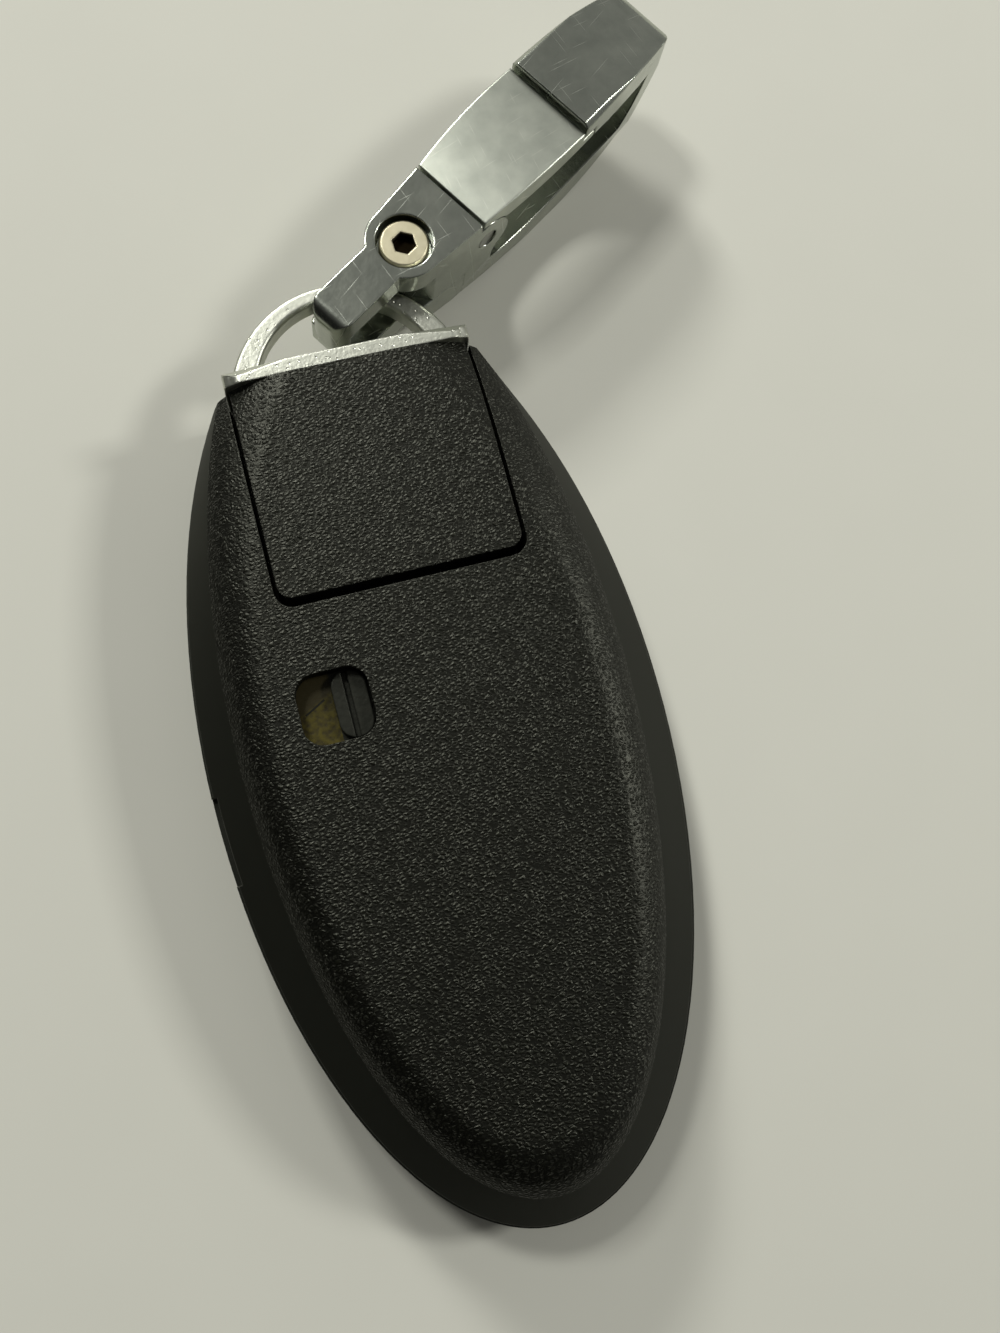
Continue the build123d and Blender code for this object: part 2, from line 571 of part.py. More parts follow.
def plan(arm_half_width):
    """Top view of the clip: arm, round boss, and the long body that swells and narrows."""
    corner_x = NOSE_END - NOSE_BOW
    outline = make_face([
        Line((0, -BOSS_RADIUS), (0, BOSS_RADIUS)),
        Line((0, BOSS_RADIUS), (SEAM, SEAM_HALF_WIDTH)),
        ThreePointArc((SEAM, SEAM_HALF_WIDTH), (WIDEST_X, CLIP_HALF_WIDTH), (corner_x, NOSE_END_HALF_WIDTH)),
        ThreePointArc((corner_x, NOSE_END_HALF_WIDTH), (NOSE_END, 0), (corner_x, -NOSE_END_HALF_WIDTH)),
        ThreePointArc((corner_x, -NOSE_END_HALF_WIDTH), (WIDEST_X, -CLIP_HALF_WIDTH), (SEAM, -SEAM_HALF_WIDTH)),
        Line((SEAM, -SEAM_HALF_WIDTH), (0, -BOSS_RADIUS))])
    outline = fillet(outline.vertices().group_by(Axis.X)[-1], NOSE_CORNER)
    arm = Pos(ARM_END, 0) * Rectangle(-ARM_END, 2 * arm_half_width, align=(Align.MIN, Align.CENTER))
    arm = fillet(arm.vertices().group_by(Axis.X)[0], ARM_CORNER)
    return outline + Circle(BOSS_RADIUS) + arm


end_half = [(CLIP_HALF_WIDTH, NOSE_TOP_Z), (CLIP_HALF_WIDTH, SIDE_TOP_Z), (SPINE_HALF_WIDTH, SPINE_TOP_Z),
            (SPINE_HALF_WIDTH, 0)]
end_face = make_face(Polyline(*end_half, *[(-x, z) for x, z in reversed(end_half)], close=True))
end_view = extrude(Plane.YZ * end_face, 2 * NOSE_END, both=True)


def body(edges, arm_half_width):
    """Solid with the clip's side, top and end views, the nose bevelled along its upper edges."""
    solid = extrude(plan(arm_half_width), NOSE_TOP_Z)
    rims = solid.edges().group_by(Axis.Z)[-1].filter_by_position(Axis.X, SEAM, NOSE_END)
    return side_view(edges) & end_view & chamfer(rims, NOSE_EDGE)


cavity_bottom_z = CLIP_TOP_Z - 0.1 - ARM_THICKNESS - SHACKLE_HEIGHT
cavity_top_z = cavity_bottom_z + SHACKLE_HEIGHT
cavity_mid_z = (cavity_bottom_z + cavity_top_z) / 2
bail_relief = Pos(bail_cross, 0, 0) * Rot(0, 0, bail_turn_deg - CLIP_TURN_DEG) * block(
    (-8, 8), (-BAIL_RELIEF, BAIL_RELIEF), (cavity_bottom_z, cavity_top_z))
ear_low = spot(EAR_RADIUS, -50)
spine_start = (10.5, 0.4 + SPINE_THICKNESS)
spine_end = (24.0, 1.4 + SPINE_THICKNESS)
lip_wall_x = NOSE_START + GATE_LIP + SEAM_GAP
under_nose_z = GATE_UNDER_Z - 0.1
opening_end = (31.0, 10.3)
nose_turn = (32.6, NOSE_TOP_Z - 1.4)
nose_low = (33.2, 8.8)
arm_turn = ARM_END + ARM_TURN
side_edges = [
    Polyline((ARM_END, cavity_mid_z + JAW_SLOT), (ARM_END, CLIP_TOP_Z - ARM_TURN)),
    ThreePointArc((ARM_END, CLIP_TOP_Z - ARM_TURN), (ARM_END + 0.3 * ARM_TURN, CLIP_TOP_Z - 0.3 * ARM_TURN),
                  (arm_turn, CLIP_TOP_Z)),
    Polyline((arm_turn, CLIP_TOP_Z), (SEAM, CLIP_TOP_Z), (SEAM, height_at(EAR_RADIUS, SEAM))),
    ThreePointArc((SEAM, height_at(EAR_RADIUS, SEAM)), spot(EAR_RADIUS, 10), ear_low),
    ThreePointArc(ear_low, (8.1, 5.3), spine_start),
    ThreePointArc(spine_start, (17.5, SPINE_THICKNESS), spine_end),
    ThreePointArc(spine_end, (28.6, 6.6), opening_end),
    Polyline(opening_end, (lip_wall_x, under_nose_z), (lip_wall_x, LIP_TOP_Z + SEAM_GAP),
             (NOSE_START, LIP_TOP_Z + SEAM_GAP), (NOSE_START, NOSE_TOP_Z)),
    ThreePointArc((NOSE_START, NOSE_TOP_Z), (27.0, NOSE_TOP_Z - 0.4), nose_turn),
    ThreePointArc(nose_turn, (NOSE_END - 0.2, 11.3), nose_low),
    ThreePointArc(nose_low, (27.5, 2.6), (FOOT[1], 0)),
    Line((FOOT[1], 0), (FOOT[0], 0)),
    ThreePointArc((FOOT[0], 0), (10.0, 0.85), (JAW_LENGTH, 2.3)),
    Polyline((JAW_LENGTH, 2.3), (JAW_LENGTH, cavity_bottom_z), (SHACKLE_CAVITY[1], cavity_bottom_z),
             (SHACKLE_CAVITY[1], cavity_top_z), (SHACKLE_CAVITY[0], cavity_top_z),
             (SHACKLE_CAVITY[0], cavity_mid_z + JAW_SLOT), (ARM_END, cavity_mid_z + JAW_SLOT))]
hook = body(side_edges, ARM_HALF_WIDTH)
hook -= bail_relief

slot_half = TANG_WIDTH / 2 + RUNNING_GAP
slot_left_x = PIN_X - TAIL_BACK - TAIL_LENGTH / 2
slot_bottom_z = PIN_Z - math.hypot(TAIL_LENGTH, TAIL_FRONT) - 0.3
hook -= block((slot_left_x, SEAM + 8), (-slot_half, slot_half), (slot_bottom_z, CLIP_TOP_Z - 1.2))
hook -= block((SEAM, SEAM + 8), (-slot_half, slot_half), (PIN_Z, CLIP_TOP_Z + 1))
pin_bore = Pos(PIN_X, 0, PIN_Z) * Rot(90, 0, 0) * Cylinder(PIN_RADIUS, clip_wide)
hook -= pin_bore
gate_spring_z = PIN_Z - 2.3
gate_spring_hole = (SCREW_RADIUS + SPRING_WALL, slot_left_x + 0.1)
hook -= Pos(gate_spring_hole[0], 0, gate_spring_z) * Rot(0, 90, 0) * Cylinder(
    GATE_COIL_RADIUS + GATE_WIRE / 2 + 0.1, gate_spring_hole[1] - gate_spring_hole[0],
    align=(Align.CENTER, Align.CENTER, Align.MIN))
head_top_z = CLIP_TOP_Z - SCREW_HEAD_DEPTH
counterbore_z = head_top_z - SCREW_HEAD_HEIGHT
hook -= rod(COUNTERBORE_RADIUS, (counterbore_z, CLIP_TOP_Z + 1))
hook -= rod(SCREW_RADIUS + SCREW_BORE_GAP, (0, CLIP_TOP_Z))
save(clip_place * hook, "hook_body")

# Lower arm of the shackle: passes under the bail and turns up to meet the arm
jaw_x = JAW_LENGTH - 0.05
jaw_end = ARM_END + JAW_SHORT
jaw_inner = SHACKLE_CAVITY[0]
jaw_edges = [
    Polyline((jaw_x, 2.35), (jaw_x, cavity_bottom_z), (jaw_inner + JAW_INNER_TURN, cavity_bottom_z)),
    ThreePointArc((jaw_inner + JAW_INNER_TURN, cavity_bottom_z),
                  (jaw_inner + 0.3 * JAW_INNER_TURN, cavity_bottom_z + 0.3 * JAW_INNER_TURN),
                  (jaw_inner, cavity_bottom_z + JAW_INNER_TURN)),
    Polyline((jaw_inner, cavity_bottom_z + JAW_INNER_TURN), (jaw_inner, cavity_mid_z),
             (jaw_end, cavity_mid_z), (jaw_end, JAW_BOTTOM_Z + JAW_TURN)),
    ThreePointArc((jaw_end, JAW_BOTTOM_Z + JAW_TURN), (jaw_end + 0.3 * JAW_TURN, JAW_BOTTOM_Z + 0.3 * JAW_TURN),
                  (jaw_end + JAW_TURN, JAW_BOTTOM_Z)),
    ThreePointArc((jaw_end + JAW_TURN, JAW_BOTTOM_Z), (-2.0, 3.25), (jaw_x, 2.35))]
jaw = body(jaw_edges, JAW_HALF_WIDTH)
jaw -= rod(SCREW_RADIUS, (0, CLIP_TOP_Z))
save(clip_place * jaw, "shackle_jaw")

# Socket head screw through the boss into the jaw
screw = rod(SCREW_HEAD_RADIUS, (counterbore_z, head_top_z))
screw = chamfer(screw.edges().group_by(Axis.Z)[-1], 0.2)
screw += rod(SCREW_RADIUS, (JAW_BOTTOM_Z + 0.6, counterbore_z + 0.1))
socket = Pos(0, 0, head_top_z - SCREW_SOCKET_DEPTH) * RegularPolygon(SCREW_HEX / 2, 6, major_radius=False)
screw -= extrude(socket, 2 * SCREW_SOCKET_DEPTH)
save(clip_place * screw, "shackle_screw")

# Gate: crowned plate with a tang between the ears, and a lip caught under the nose
gate_start = SEAM + SEAM_GAP
gate_end = NOSE_START - SEAM_GAP
gate_arc = EAR_RADIUS + 0.25
hollow_x = PIN_X + math.sqrt(gate_arc ** 2 - (GATE_UNDER_Z - PIN_Z) ** 2)
gate_edges = [
    ThreePointArc((gate_start, CLIP_TOP_Z), ((gate_start + gate_end) / 2, CLIP_TOP_Z + GATE_CROWN),
                  (gate_end, CLIP_TOP_Z + 0.1)),
    Polyline((gate_end, CLIP_TOP_Z + 0.1), (gate_end, LIP_TOP_Z), (NOSE_START + GATE_LIP, LIP_TOP_Z),
             (NOSE_START + GATE_LIP, GATE_UNDER_Z), (hollow_x, GATE_UNDER_Z)),
    ThreePointArc((hollow_x, GATE_UNDER_Z), spot(gate_arc, 65), (gate_start, height_at(gate_arc, gate_start))),
    Line((gate_start, height_at(gate_arc, gate_start)), (gate_start, CLIP_TOP_Z))]
gate = body(gate_edges, ARM_HALF_WIDTH)
tang = Pos(PIN_X, 0, PIN_Z) * Rot(90, 0, 0) * Cylinder(TANG_RADIUS, TANG_WIDTH)
tang += block((PIN_X - 0.5, PIN_X + TANG_RADIUS), (-TANG_WIDTH / 2, TANG_WIDTH / 2), (PIN_Z, CLIP_TOP_Z - 0.4))
tang += block((PIN_X - TAIL_BACK, PIN_X + TAIL_FRONT), (-TANG_WIDTH / 2, TANG_WIDTH / 2),
              (PIN_Z - TAIL_LENGTH, PIN_Z - TANG_RADIUS / 2))
gate += tang
gate -= Pos(PIN_X, 0, PIN_Z) * Rot(90, 0, 0) * Cylinder(PIN_RADIUS + PIN_GAP, clip_wide)
save(clip_place * gate, "gate")

# Pin across both ears, and the gate's spring behind the tang's tail
pin = Pos(PIN_X, 0, PIN_Z) * Rot(90, 0, 0) * Cylinder(PIN_RADIUS, 2 * SEAM_HALF_WIDTH)
pin = chamfer(pin.edges().filter_by(GeomType.CIRCLE), 0.15)
save(clip_place * pin, "gate_pin")
tail_face_x = PIN_X - TAIL_BACK
gate_spring = coil(GATE_WIRE, GATE_COIL_RADIUS, tail_face_x - gate_spring_hole[0], SPRING_TURNS)
save(clip_place * Pos(gate_spring_hole[0], 0, gate_spring_z) * gate_spring, "gate_spring")
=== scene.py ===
import math

import bmesh
import bpy
from mathutils import Matrix, Vector


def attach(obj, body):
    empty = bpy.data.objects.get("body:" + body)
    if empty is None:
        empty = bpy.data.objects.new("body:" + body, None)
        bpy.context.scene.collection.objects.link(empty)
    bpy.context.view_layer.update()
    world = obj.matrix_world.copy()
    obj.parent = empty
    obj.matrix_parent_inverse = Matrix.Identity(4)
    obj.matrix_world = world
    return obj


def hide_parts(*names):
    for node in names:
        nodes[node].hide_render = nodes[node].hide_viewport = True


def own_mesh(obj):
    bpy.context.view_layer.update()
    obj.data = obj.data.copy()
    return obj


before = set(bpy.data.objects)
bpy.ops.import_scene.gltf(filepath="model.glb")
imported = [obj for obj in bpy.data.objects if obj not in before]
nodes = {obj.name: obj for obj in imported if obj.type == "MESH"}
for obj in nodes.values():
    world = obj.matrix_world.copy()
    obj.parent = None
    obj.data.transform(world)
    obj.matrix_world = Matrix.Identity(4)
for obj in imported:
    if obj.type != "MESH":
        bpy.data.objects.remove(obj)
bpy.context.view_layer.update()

# Front half of the case, which lies face down, with the pry slot's lower lip in its wall.
# Injection-moulded black ABS. The tool was finely spark-eroded, so it leaves a satin skin.
# It clips to the rear half along the parting line.
MM = 0.001


def linear(hex_colour):
    """Linear colour with alpha from an sRGB hex value."""
    values = [int(hex_colour[i:i + 2], 16) / 255 for i in (1, 3, 5)]
    return [v / 12.92 if v <= 0.04045 else ((v + 0.055) / 1.055) ** 2.4 for v in values] + [1.0]


def add(tree, kind, settings=None, **links):
    """Node of a kind in a tree, with its settings, and values or links for its inputs."""
    node = tree.nodes.new(kind)
    for name, value in (settings or {}).items():
        setattr(node, name, value)
    for name, value in links.items():
        socket = node.inputs[int(name[1:])] if name[1:].isdigit() else node.inputs[name.replace("_", " ")]
        if isinstance(value, bpy.types.NodeSocket):
            tree.links.new(value, socket)
        else:
            socket.default_value = value
    return node


def new_finish(name, roughness, metallic=0.0):
    """New material, its tree and shader, and a place on the piece in millimetres."""
    material = bpy.data.materials.new(name)
    material.use_nodes = True
    tree = material.node_tree
    shader = tree.nodes["Principled BSDF"]
    shader.inputs["Roughness"].default_value = roughness
    shader.inputs["Metallic"].default_value = metallic
    place = add(tree, "ShaderNodeTexCoord").outputs["Object"]
    place_mm = add(tree, "ShaderNodeMapping", Vector=place, Scale=(1 / MM, 1 / MM, 1 / MM)).outputs[0]
    return material, tree, shader, place_mm


def dress(material, *names):
    """Give CAD nodes this finish."""
    for name in names:
        for slot in nodes[name].material_slots:
            slot.material = material


def rubs(tree, place_mm, turn_deg, length_mm, gap_mm, width):
    """Thin wavering lines that lie along one direction: 1 on a rub, 0 beside it."""
    along = add(tree, "ShaderNodeMapping", {"vector_type": "TEXTURE"}, Vector=place_mm,
                Rotation=(0, 0, math.radians(turn_deg)), Scale=(length_mm, gap_mm, gap_mm)).outputs[0]
    noise = add(tree, "ShaderNodeTexNoise", Vector=along, Scale=1.0, Detail=1.0).outputs["Fac"]
    off = add(tree, "ShaderNodeMath", {"operation": "SUBTRACT"}, i0=noise, i1=0.5).outputs[0]
    away = add(tree, "ShaderNodeMath", {"operation": "ABSOLUTE"}, i0=off).outputs[0]
    return add(tree, "ShaderNodeMapRange", Value=away, From_Min=0.0, From_Max=width,
               To_Min=1.0, To_Max=0.0).outputs[0]


BLACK_ABS = "#0b0c0a"
DULL_ABS = "#131410"
ABS_IOR = 1.5
ABS_GLOSS = 0.32
OLIVE_SHEEN = (0.98, 1.0, 0.84, 1.0)
# The pits are drawn coarser than a spark leaves them, so that they show at all.
SPARK_PIT = 0.09
PIT_DEPTH = 0.012
SHELL_EDGE = 0.16

satin_abs, tree, shader, place = new_finish("satin_spark_eroded_abs", 0.42)
shader.inputs["IOR"].default_value = ABS_IOR
shader.inputs["Specular IOR Level"].default_value = ABS_GLOSS
shader.inputs["Specular Tint"].default_value = OLIVE_SHEEN
cloudy = add(tree, "ShaderNodeTexNoise", Vector=place, Scale=1 / 6.0, Detail=4.0).outputs["Fac"]
tint = add(tree, "ShaderNodeMix", {"data_type": "RGBA"}, Factor=cloudy, i6=linear(BLACK_ABS),
           i7=linear(DULL_ABS)).outputs[2]
tree.links.new(tint, shader.inputs["Base Color"])
pits = add(tree, "ShaderNodeTexNoise", Vector=place, Scale=1 / SPARK_PIT, Detail=2.0).outputs["Fac"]
rounded = add(tree, "ShaderNodeBevel", {"samples": 6}, Radius=SHELL_EDGE * MM).outputs[0]
skin = add(tree, "ShaderNodeBump", Strength=0.5, Distance=PIT_DEPTH * MM, Height=pits,
           Normal=rounded).outputs[0]
scuffed = rubs(tree, place, 68, 5.0, 0.5, 0.012)
scored = add(tree, "ShaderNodeBump", {"invert": True}, Strength=0.5, Distance=0.02 * MM,
             Height=scuffed, Normal=skin).outputs[0]
tree.links.new(scored, shader.inputs["Normal"])
dress(satin_abs, "front_shell")

# Four keys of the front face, which rest on the mat under them.
# Silicone rubber with a coat of matt lacquer, so the light falls on them softly.
button_rubber, tree, shader, place = new_finish("matt_lacquered_rubber", 0.62)
cloudy = add(tree, "ShaderNodeTexNoise", Vector=place, Scale=1 / 1.5, Detail=4.0).outputs["Fac"]
tint = add(tree, "ShaderNodeMix", {"data_type": "RGBA"}, Factor=cloudy, i6=linear("#171717"),
           i7=linear("#232322")).outputs[2]
tree.links.new(tint, shader.inputs["Base Color"])
speck = add(tree, "ShaderNodeTexNoise", Vector=place, Scale=1 / 0.15, Detail=3.0).outputs["Fac"]
rounded = add(tree, "ShaderNodeBevel", {"samples": 6}, Radius=0.25 * MM).outputs[0]
skin = add(tree, "ShaderNodeBump", Strength=0.4, Distance=0.01 * MM, Height=speck,
           Normal=rounded).outputs[0]
tree.links.new(skin, shader.inputs["Normal"])
dress(button_rubber, "lock_button", "unlock_button", "trunk_button", "panic_button")

# Signs on the keys: closed lock, open lock, car with its boot open, and horn.
# Pale ink, pad-printed on the lacquer as a film that stands a little proud of it.
SIGN_TOP = 0.24
SIGN_ROOT = 0.32
SIGN_SCALE = 1.35
SIGN_Y = (23.5, 14.0, 4.5, -5.0)
ARC_STEPS = 16
# A closed circle stops one step short, so that its two ends don't meet.
CIRCLE_END = 337.5
WELD = 0.001

ink, tree, shader, place = new_finish("pad_printed_ink", 0.55)
worn = add(tree, "ShaderNodeTexNoise", Vector=place, Scale=1 / 0.6, Detail=4.0).outputs["Fac"]
tint = add(tree, "ShaderNodeMix", {"data_type": "RGBA"}, Factor=worn, i6=linear("#a5a7a3"),
           i7=linear("#c4c6c1")).outputs[2]
tree.links.new(tint, shader.inputs["Base Color"])


def arc(x, y, radius, start_deg, end_deg):
    """Points along an arc, in millimetres."""
    turns = [math.radians(start_deg + (end_deg - start_deg) * i / ARC_STEPS)
             for i in range(ARC_STEPS + 1)]
    return [(x + radius * math.cos(turn), y + radius * math.sin(turn)) for turn in turns]


def sign(name, body, y_mm, outlines):
    """Flat raised sign on the key at this height, drawn as its reader sees it."""
    drawing = bpy.data.curves.new(name, "CURVE")
    drawing.dimensions = "2D"
    drawing.fill_mode = "BOTH"
    drawing.extrude = (SIGN_ROOT - SIGN_TOP) / 2 * MM
    for outline in outlines:
        line = drawing.splines.new("POLY")
        line.points.add(len(outline) - 1)
        line.use_cyclic_u = True
        for point, (x, y) in zip(line.points, outline):
            point.co = (-x * SIGN_SCALE * MM, (y_mm + y * SIGN_SCALE) * MM, 0, 1)
    drawn = bpy.data.objects.new(name + "_drawing", drawing)
    bpy.context.scene.collection.objects.link(drawn)
    film = bpy.data.meshes.new_from_object(drawn.evaluated_get(bpy.context.evaluated_depsgraph_get()))
    bpy.data.objects.remove(drawn)
    film.transform(Matrix.Translation((0, 0, (SIGN_TOP + SIGN_ROOT) / 2 * MM)))
    shape = bmesh.new()
    shape.from_mesh(film)
    bmesh.ops.remove_doubles(shape, verts=shape.verts, dist=WELD * MM)
    bmesh.ops.recalc_face_normals(shape, faces=shape.faces)
    shape.to_mesh(film)
    shape.free()
    film.materials.clear()
    film.materials.append(ink)
    printed = bpy.data.objects.new(name, film)
    bpy.context.scene.collection.objects.link(printed)
    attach(printed, body)


padlock = [arc(-1.0, -1.3, 0.3, 180, 270) + arc(1.0, -1.3, 0.3, 270, 360) + arc(1.0, 0.1, 0.3, 0, 90)
           + arc(-1.0, 0.1, 0.3, 90, 180), arc(0, -0.6, 0.32, 0, CIRCLE_END)]
shackle = [(0.95, 0.45)] + arc(0, 0.8, 0.95, 0, 180) + [(-0.95, 0.45), (-0.6, 0.45)] \
    + arc(0, 0.8, 0.6, 180, 0) + [(0.6, 0.45)]
swung = [(x + 1.55, y) for x, y in shackle]
car = [[(-2.0, -0.75)] + arc(-1.15, -0.75, 0.5, 180, 0) + arc(1.15, -0.75, 0.5, 180, 0)
       + [(2.0, -0.75), (2.0, -0.1), (1.25, 0.1), (0.55, 0.8), (-0.75, 0.8), (-1.25, 0.15), (-2.0, 0.05)],
       arc(-1.15, -0.75, 0.36, 0, CIRCLE_END), arc(1.15, -0.75, 0.36, 0, CIRCLE_END),
       [(-1.2, 0.45), (-1.05, 0.62), (-1.95, 1.3), (-2.1, 1.12)]]
horn = [[(-1.8, -0.4), (-1.1, -0.4), (-0.1, -1.1), (-0.1, 1.1), (-1.1, 0.4), (-1.8, 0.4)],
        arc(-0.5, 0, 1.0, -38, 38) + arc(-0.5, 0, 1.25, 38, -38),
        arc(-0.5, 0, 1.6, -38, 38) + arc(-0.5, 0, 1.85, 38, -38)]
sign("lock_sign", "lock_button", SIGN_Y[0], padlock + [shackle])
sign("unlock_sign", "unlock_button", SIGN_Y[1], padlock + [swung])
sign("trunk_sign", "trunk_button", SIGN_Y[2], car)
sign("panic_sign", "panic_button", SIGN_Y[3], horn)

# Mat under the keys, which springs them back and presses the switches.
# Silicone rubber, moulded in one sheet, an even grey with a soft shine.
silicone, tree, shader, place = new_finish("moulded_silicone", 0.5)
cloudy = add(tree, "ShaderNodeTexNoise", Vector=place, Scale=1 / 2.0, Detail=2.0).outputs["Fac"]
tint = add(tree, "ShaderNodeMix", {"data_type": "RGBA"}, Factor=cloudy, i6=linear("#55585a"),
           i7=linear("#666a6c")).outputs[2]
tree.links.new(tint, shader.inputs["Base Color"])
dress(silicone, "button_membrane")

# Circuit board, held between the halves of the case, which carries the electronics.
# Glass epoxy under green solder mask, with copper tracks that show as a raised lighter green.
board, tree, shader, place = new_finish("solder_masked_board", 0.35)
tracks = add(tree, "ShaderNodeTexBrick", {"offset": 0.5}, Vector=place, Scale=1.0, Color1=(0, 0, 0, 1),
             Color2=(0, 0, 0, 1), Mortar=(1, 1, 1, 1), Mortar_Size=0.12, Brick_Width=4.0,
             Row_Height=1.1).outputs["Color"]
tint = add(tree, "ShaderNodeMix", {"data_type": "RGBA"}, Factor=tracks, i6=linear("#17502b"),
           i7=linear("#2c7442")).outputs[2]
tree.links.new(tint, shader.inputs["Base Color"])
raised = add(tree, "ShaderNodeBump", Strength=0.6, Distance=0.03 * MM, Height=tracks).outputs[0]
tree.links.new(raised, shader.inputs["Normal"])
dress(board, "circuit_board")

# Control chip and radio chip, soldered to the board by their pins.
# Moulded epoxy, matt with a fine grit, and tinned copper pins that shine.
CONTROL_CHIP_X = 5.0
CONTROL_CHIP_HALF = 3.02
RADIO_CHIP_X = -6.0
RADIO_CHIP_HALF = 2.02


def chip_finish(name, centre_x_mm, body_half_mm):
    """Epoxy over the body of a chip, with tinned copper on the pins that stick out of it."""
    material, tree, shader, place_mm = new_finish(name, 0.6)
    grit = add(tree, "ShaderNodeTexNoise", Vector=place_mm, Scale=1 / 0.12, Detail=2.0).outputs["Fac"]
    epoxy = add(tree, "ShaderNodeMix", {"data_type": "RGBA"}, Factor=grit, i6=linear("#1c1c1e"),
                i7=linear("#2b2b2d")).outputs[2]
    tin = add(tree, "ShaderNodeMix", {"data_type": "RGBA"}, Factor=grit, i6=linear("#a9aaa6"),
              i7=linear("#c6c7c2")).outputs[2]
    x_mm = add(tree, "ShaderNodeSeparateXYZ", Vector=place_mm).outputs["X"]
    from_middle = add(tree, "ShaderNodeMath", {"operation": "SUBTRACT"}, i0=x_mm, i1=centre_x_mm).outputs[0]
    out = add(tree, "ShaderNodeMath", {"operation": "ABSOLUTE"}, i0=from_middle).outputs[0]
    on_pin = add(tree, "ShaderNodeMath", {"operation": "GREATER_THAN"}, i0=out, i1=body_half_mm).outputs[0]
    tint = add(tree, "ShaderNodeMix", {"data_type": "RGBA"}, Factor=on_pin, i6=epoxy, i7=tin).outputs[2]
    tree.links.new(tint, shader.inputs["Base Color"])
    tree.links.new(on_pin, shader.inputs["Metallic"])
    return material


dress(chip_finish("moulded_epoxy_wide", CONTROL_CHIP_X, CONTROL_CHIP_HALF), "control_chip")
dress(chip_finish("moulded_epoxy_narrow", RADIO_CHIP_X, RADIO_CHIP_HALF), "radio_chip")

# Four tact switches under the keys, soldered to the board.
# Moulded plastic caps, a plain satin grey.
switch, tree, shader, place = new_finish("moulded_switch_cap", 0.5)
grit = add(tree, "ShaderNodeTexNoise", Vector=place, Scale=1 / 0.4, Detail=2.0).outputs["Fac"]
tint = add(tree, "ShaderNodeMix", {"data_type": "RGBA"}, Factor=grit, i6=linear("#8d8f8e"),
           i7=linear("#a6a8a6")).outputs[2]
tree.links.new(tint, shader.inputs["Base Color"])
dress(switch, "lock_switch", "unlock_switch", "trunk_switch", "panic_switch")

# Core of the antenna, fixed flat on the board.
# Sintered ferrite, a dull brown-black with a fine grit.
ferrite, tree, shader, place = new_finish("sintered_ferrite", 0.55)
grit = add(tree, "ShaderNodeTexNoise", Vector=place, Scale=1 / 0.2, Detail=3.0).outputs["Fac"]
tint = add(tree, "ShaderNodeMix", {"data_type": "RGBA"}, Factor=grit, i6=linear("#2e2a28"),
           i7=linear("#45403c")).outputs[2]
tree.links.new(tint, shader.inputs["Base Color"])
dress(ferrite, "antenna_coil")

# Winding in the groove round the antenna's ferrite.
# Fine enamelled copper wire with a warm gleam, laid by machine turn on turn. It is drawn a few
# times too thick, so that single turns can be told apart.
WIRE_RADIUS = 0.11
WIRE_SIDES = 10
TURN_PITCH = 0.21
TURNS = 5
TURN_WIDTH = 9.05
TURN_CORNER = 1.3
CORNER_POINTS = 6
WINDING_FROM = (0.0, -28.5, 5.62)

enamel, tree, shader, place = new_finish("enamelled_copper_wire", 0.3, metallic=1.0)
warm = add(tree, "ShaderNodeTexNoise", Vector=place, Scale=1 / 1.5, Detail=3.0).outputs["Fac"]
tint = add(tree, "ShaderNodeMix", {"data_type": "RGBA"}, Factor=warm, i6=linear("#a0552f"),
           i7=linear("#bb6a3d")).outputs[2]
tree.links.new(tint, shader.inputs["Base Color"])

winder = bpy.data.node_groups.new("winder", "GeometryNodeTree")
winder.interface.new_socket("Geometry", in_out="OUTPUT", socket_type="NodeSocketGeometry")
TURNS_SOCKET = winder.interface.new_socket("Turns", in_out="INPUT", socket_type="NodeSocketInt").identifier
PITCH_SOCKET = winder.interface.new_socket("Pitch", in_out="INPUT", socket_type="NodeSocketVector").identifier
FIRST_SOCKET = winder.interface.new_socket("First", in_out="INPUT", socket_type="NodeSocketVector").identifier
given = add(winder, "NodeGroupInput").outputs
square = add(winder, "GeometryNodeCurvePrimitiveQuadrilateral", Width=TURN_WIDTH * MM,
             Height=TURN_WIDTH * MM).outputs[0]
path = add(winder, "GeometryNodeFilletCurve", {"mode": "POLY"}, Curve=square, Count=CORNER_POINTS,
           Radius=TURN_CORNER * MM).outputs[0]
wire = add(winder, "GeometryNodeCurvePrimitiveCircle", Resolution=WIRE_SIDES,
           Radius=WIRE_RADIUS * MM).outputs[0]
turn = add(winder, "GeometryNodeCurveToMesh", Curve=path, Profile_Curve=wire).outputs[0]
layers = add(winder, "GeometryNodeMeshLine", Count=given["Turns"], Start_Location=given["First"],
             Offset=given["Pitch"]).outputs[0]
laid = add(winder, "GeometryNodeInstanceOnPoints", Points=layers, Instance=turn).outputs[0]
solid = add(winder, "GeometryNodeRealizeInstances", Geometry=laid).outputs[0]
copper = add(winder, "GeometryNodeSetMaterial", Geometry=solid, Material=enamel).outputs[0]
add(winder, "NodeGroupOutput", Geometry=copper)

reel = bpy.data.objects.new("reel", bpy.data.meshes.new("reel"))
bpy.context.scene.collection.objects.link(reel)
laying = reel.modifiers.new("laying", "NODES")
laying.node_group = winder
laying[TURNS_SOCKET] = TURNS
laying[PITCH_SOCKET] = (0, 0, TURN_PITCH * MM)
laying[FIRST_SOCKET] = tuple(Vector(WINDING_FROM) * MM)
wound = bpy.data.meshes.new_from_object(reel.evaluated_get(bpy.context.evaluated_depsgraph_get()))
bpy.data.objects.remove(reel)
winding = bpy.data.objects.new("antenna_winding", wound)
bpy.context.scene.collection.objects.link(winding)
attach(winding, "case")

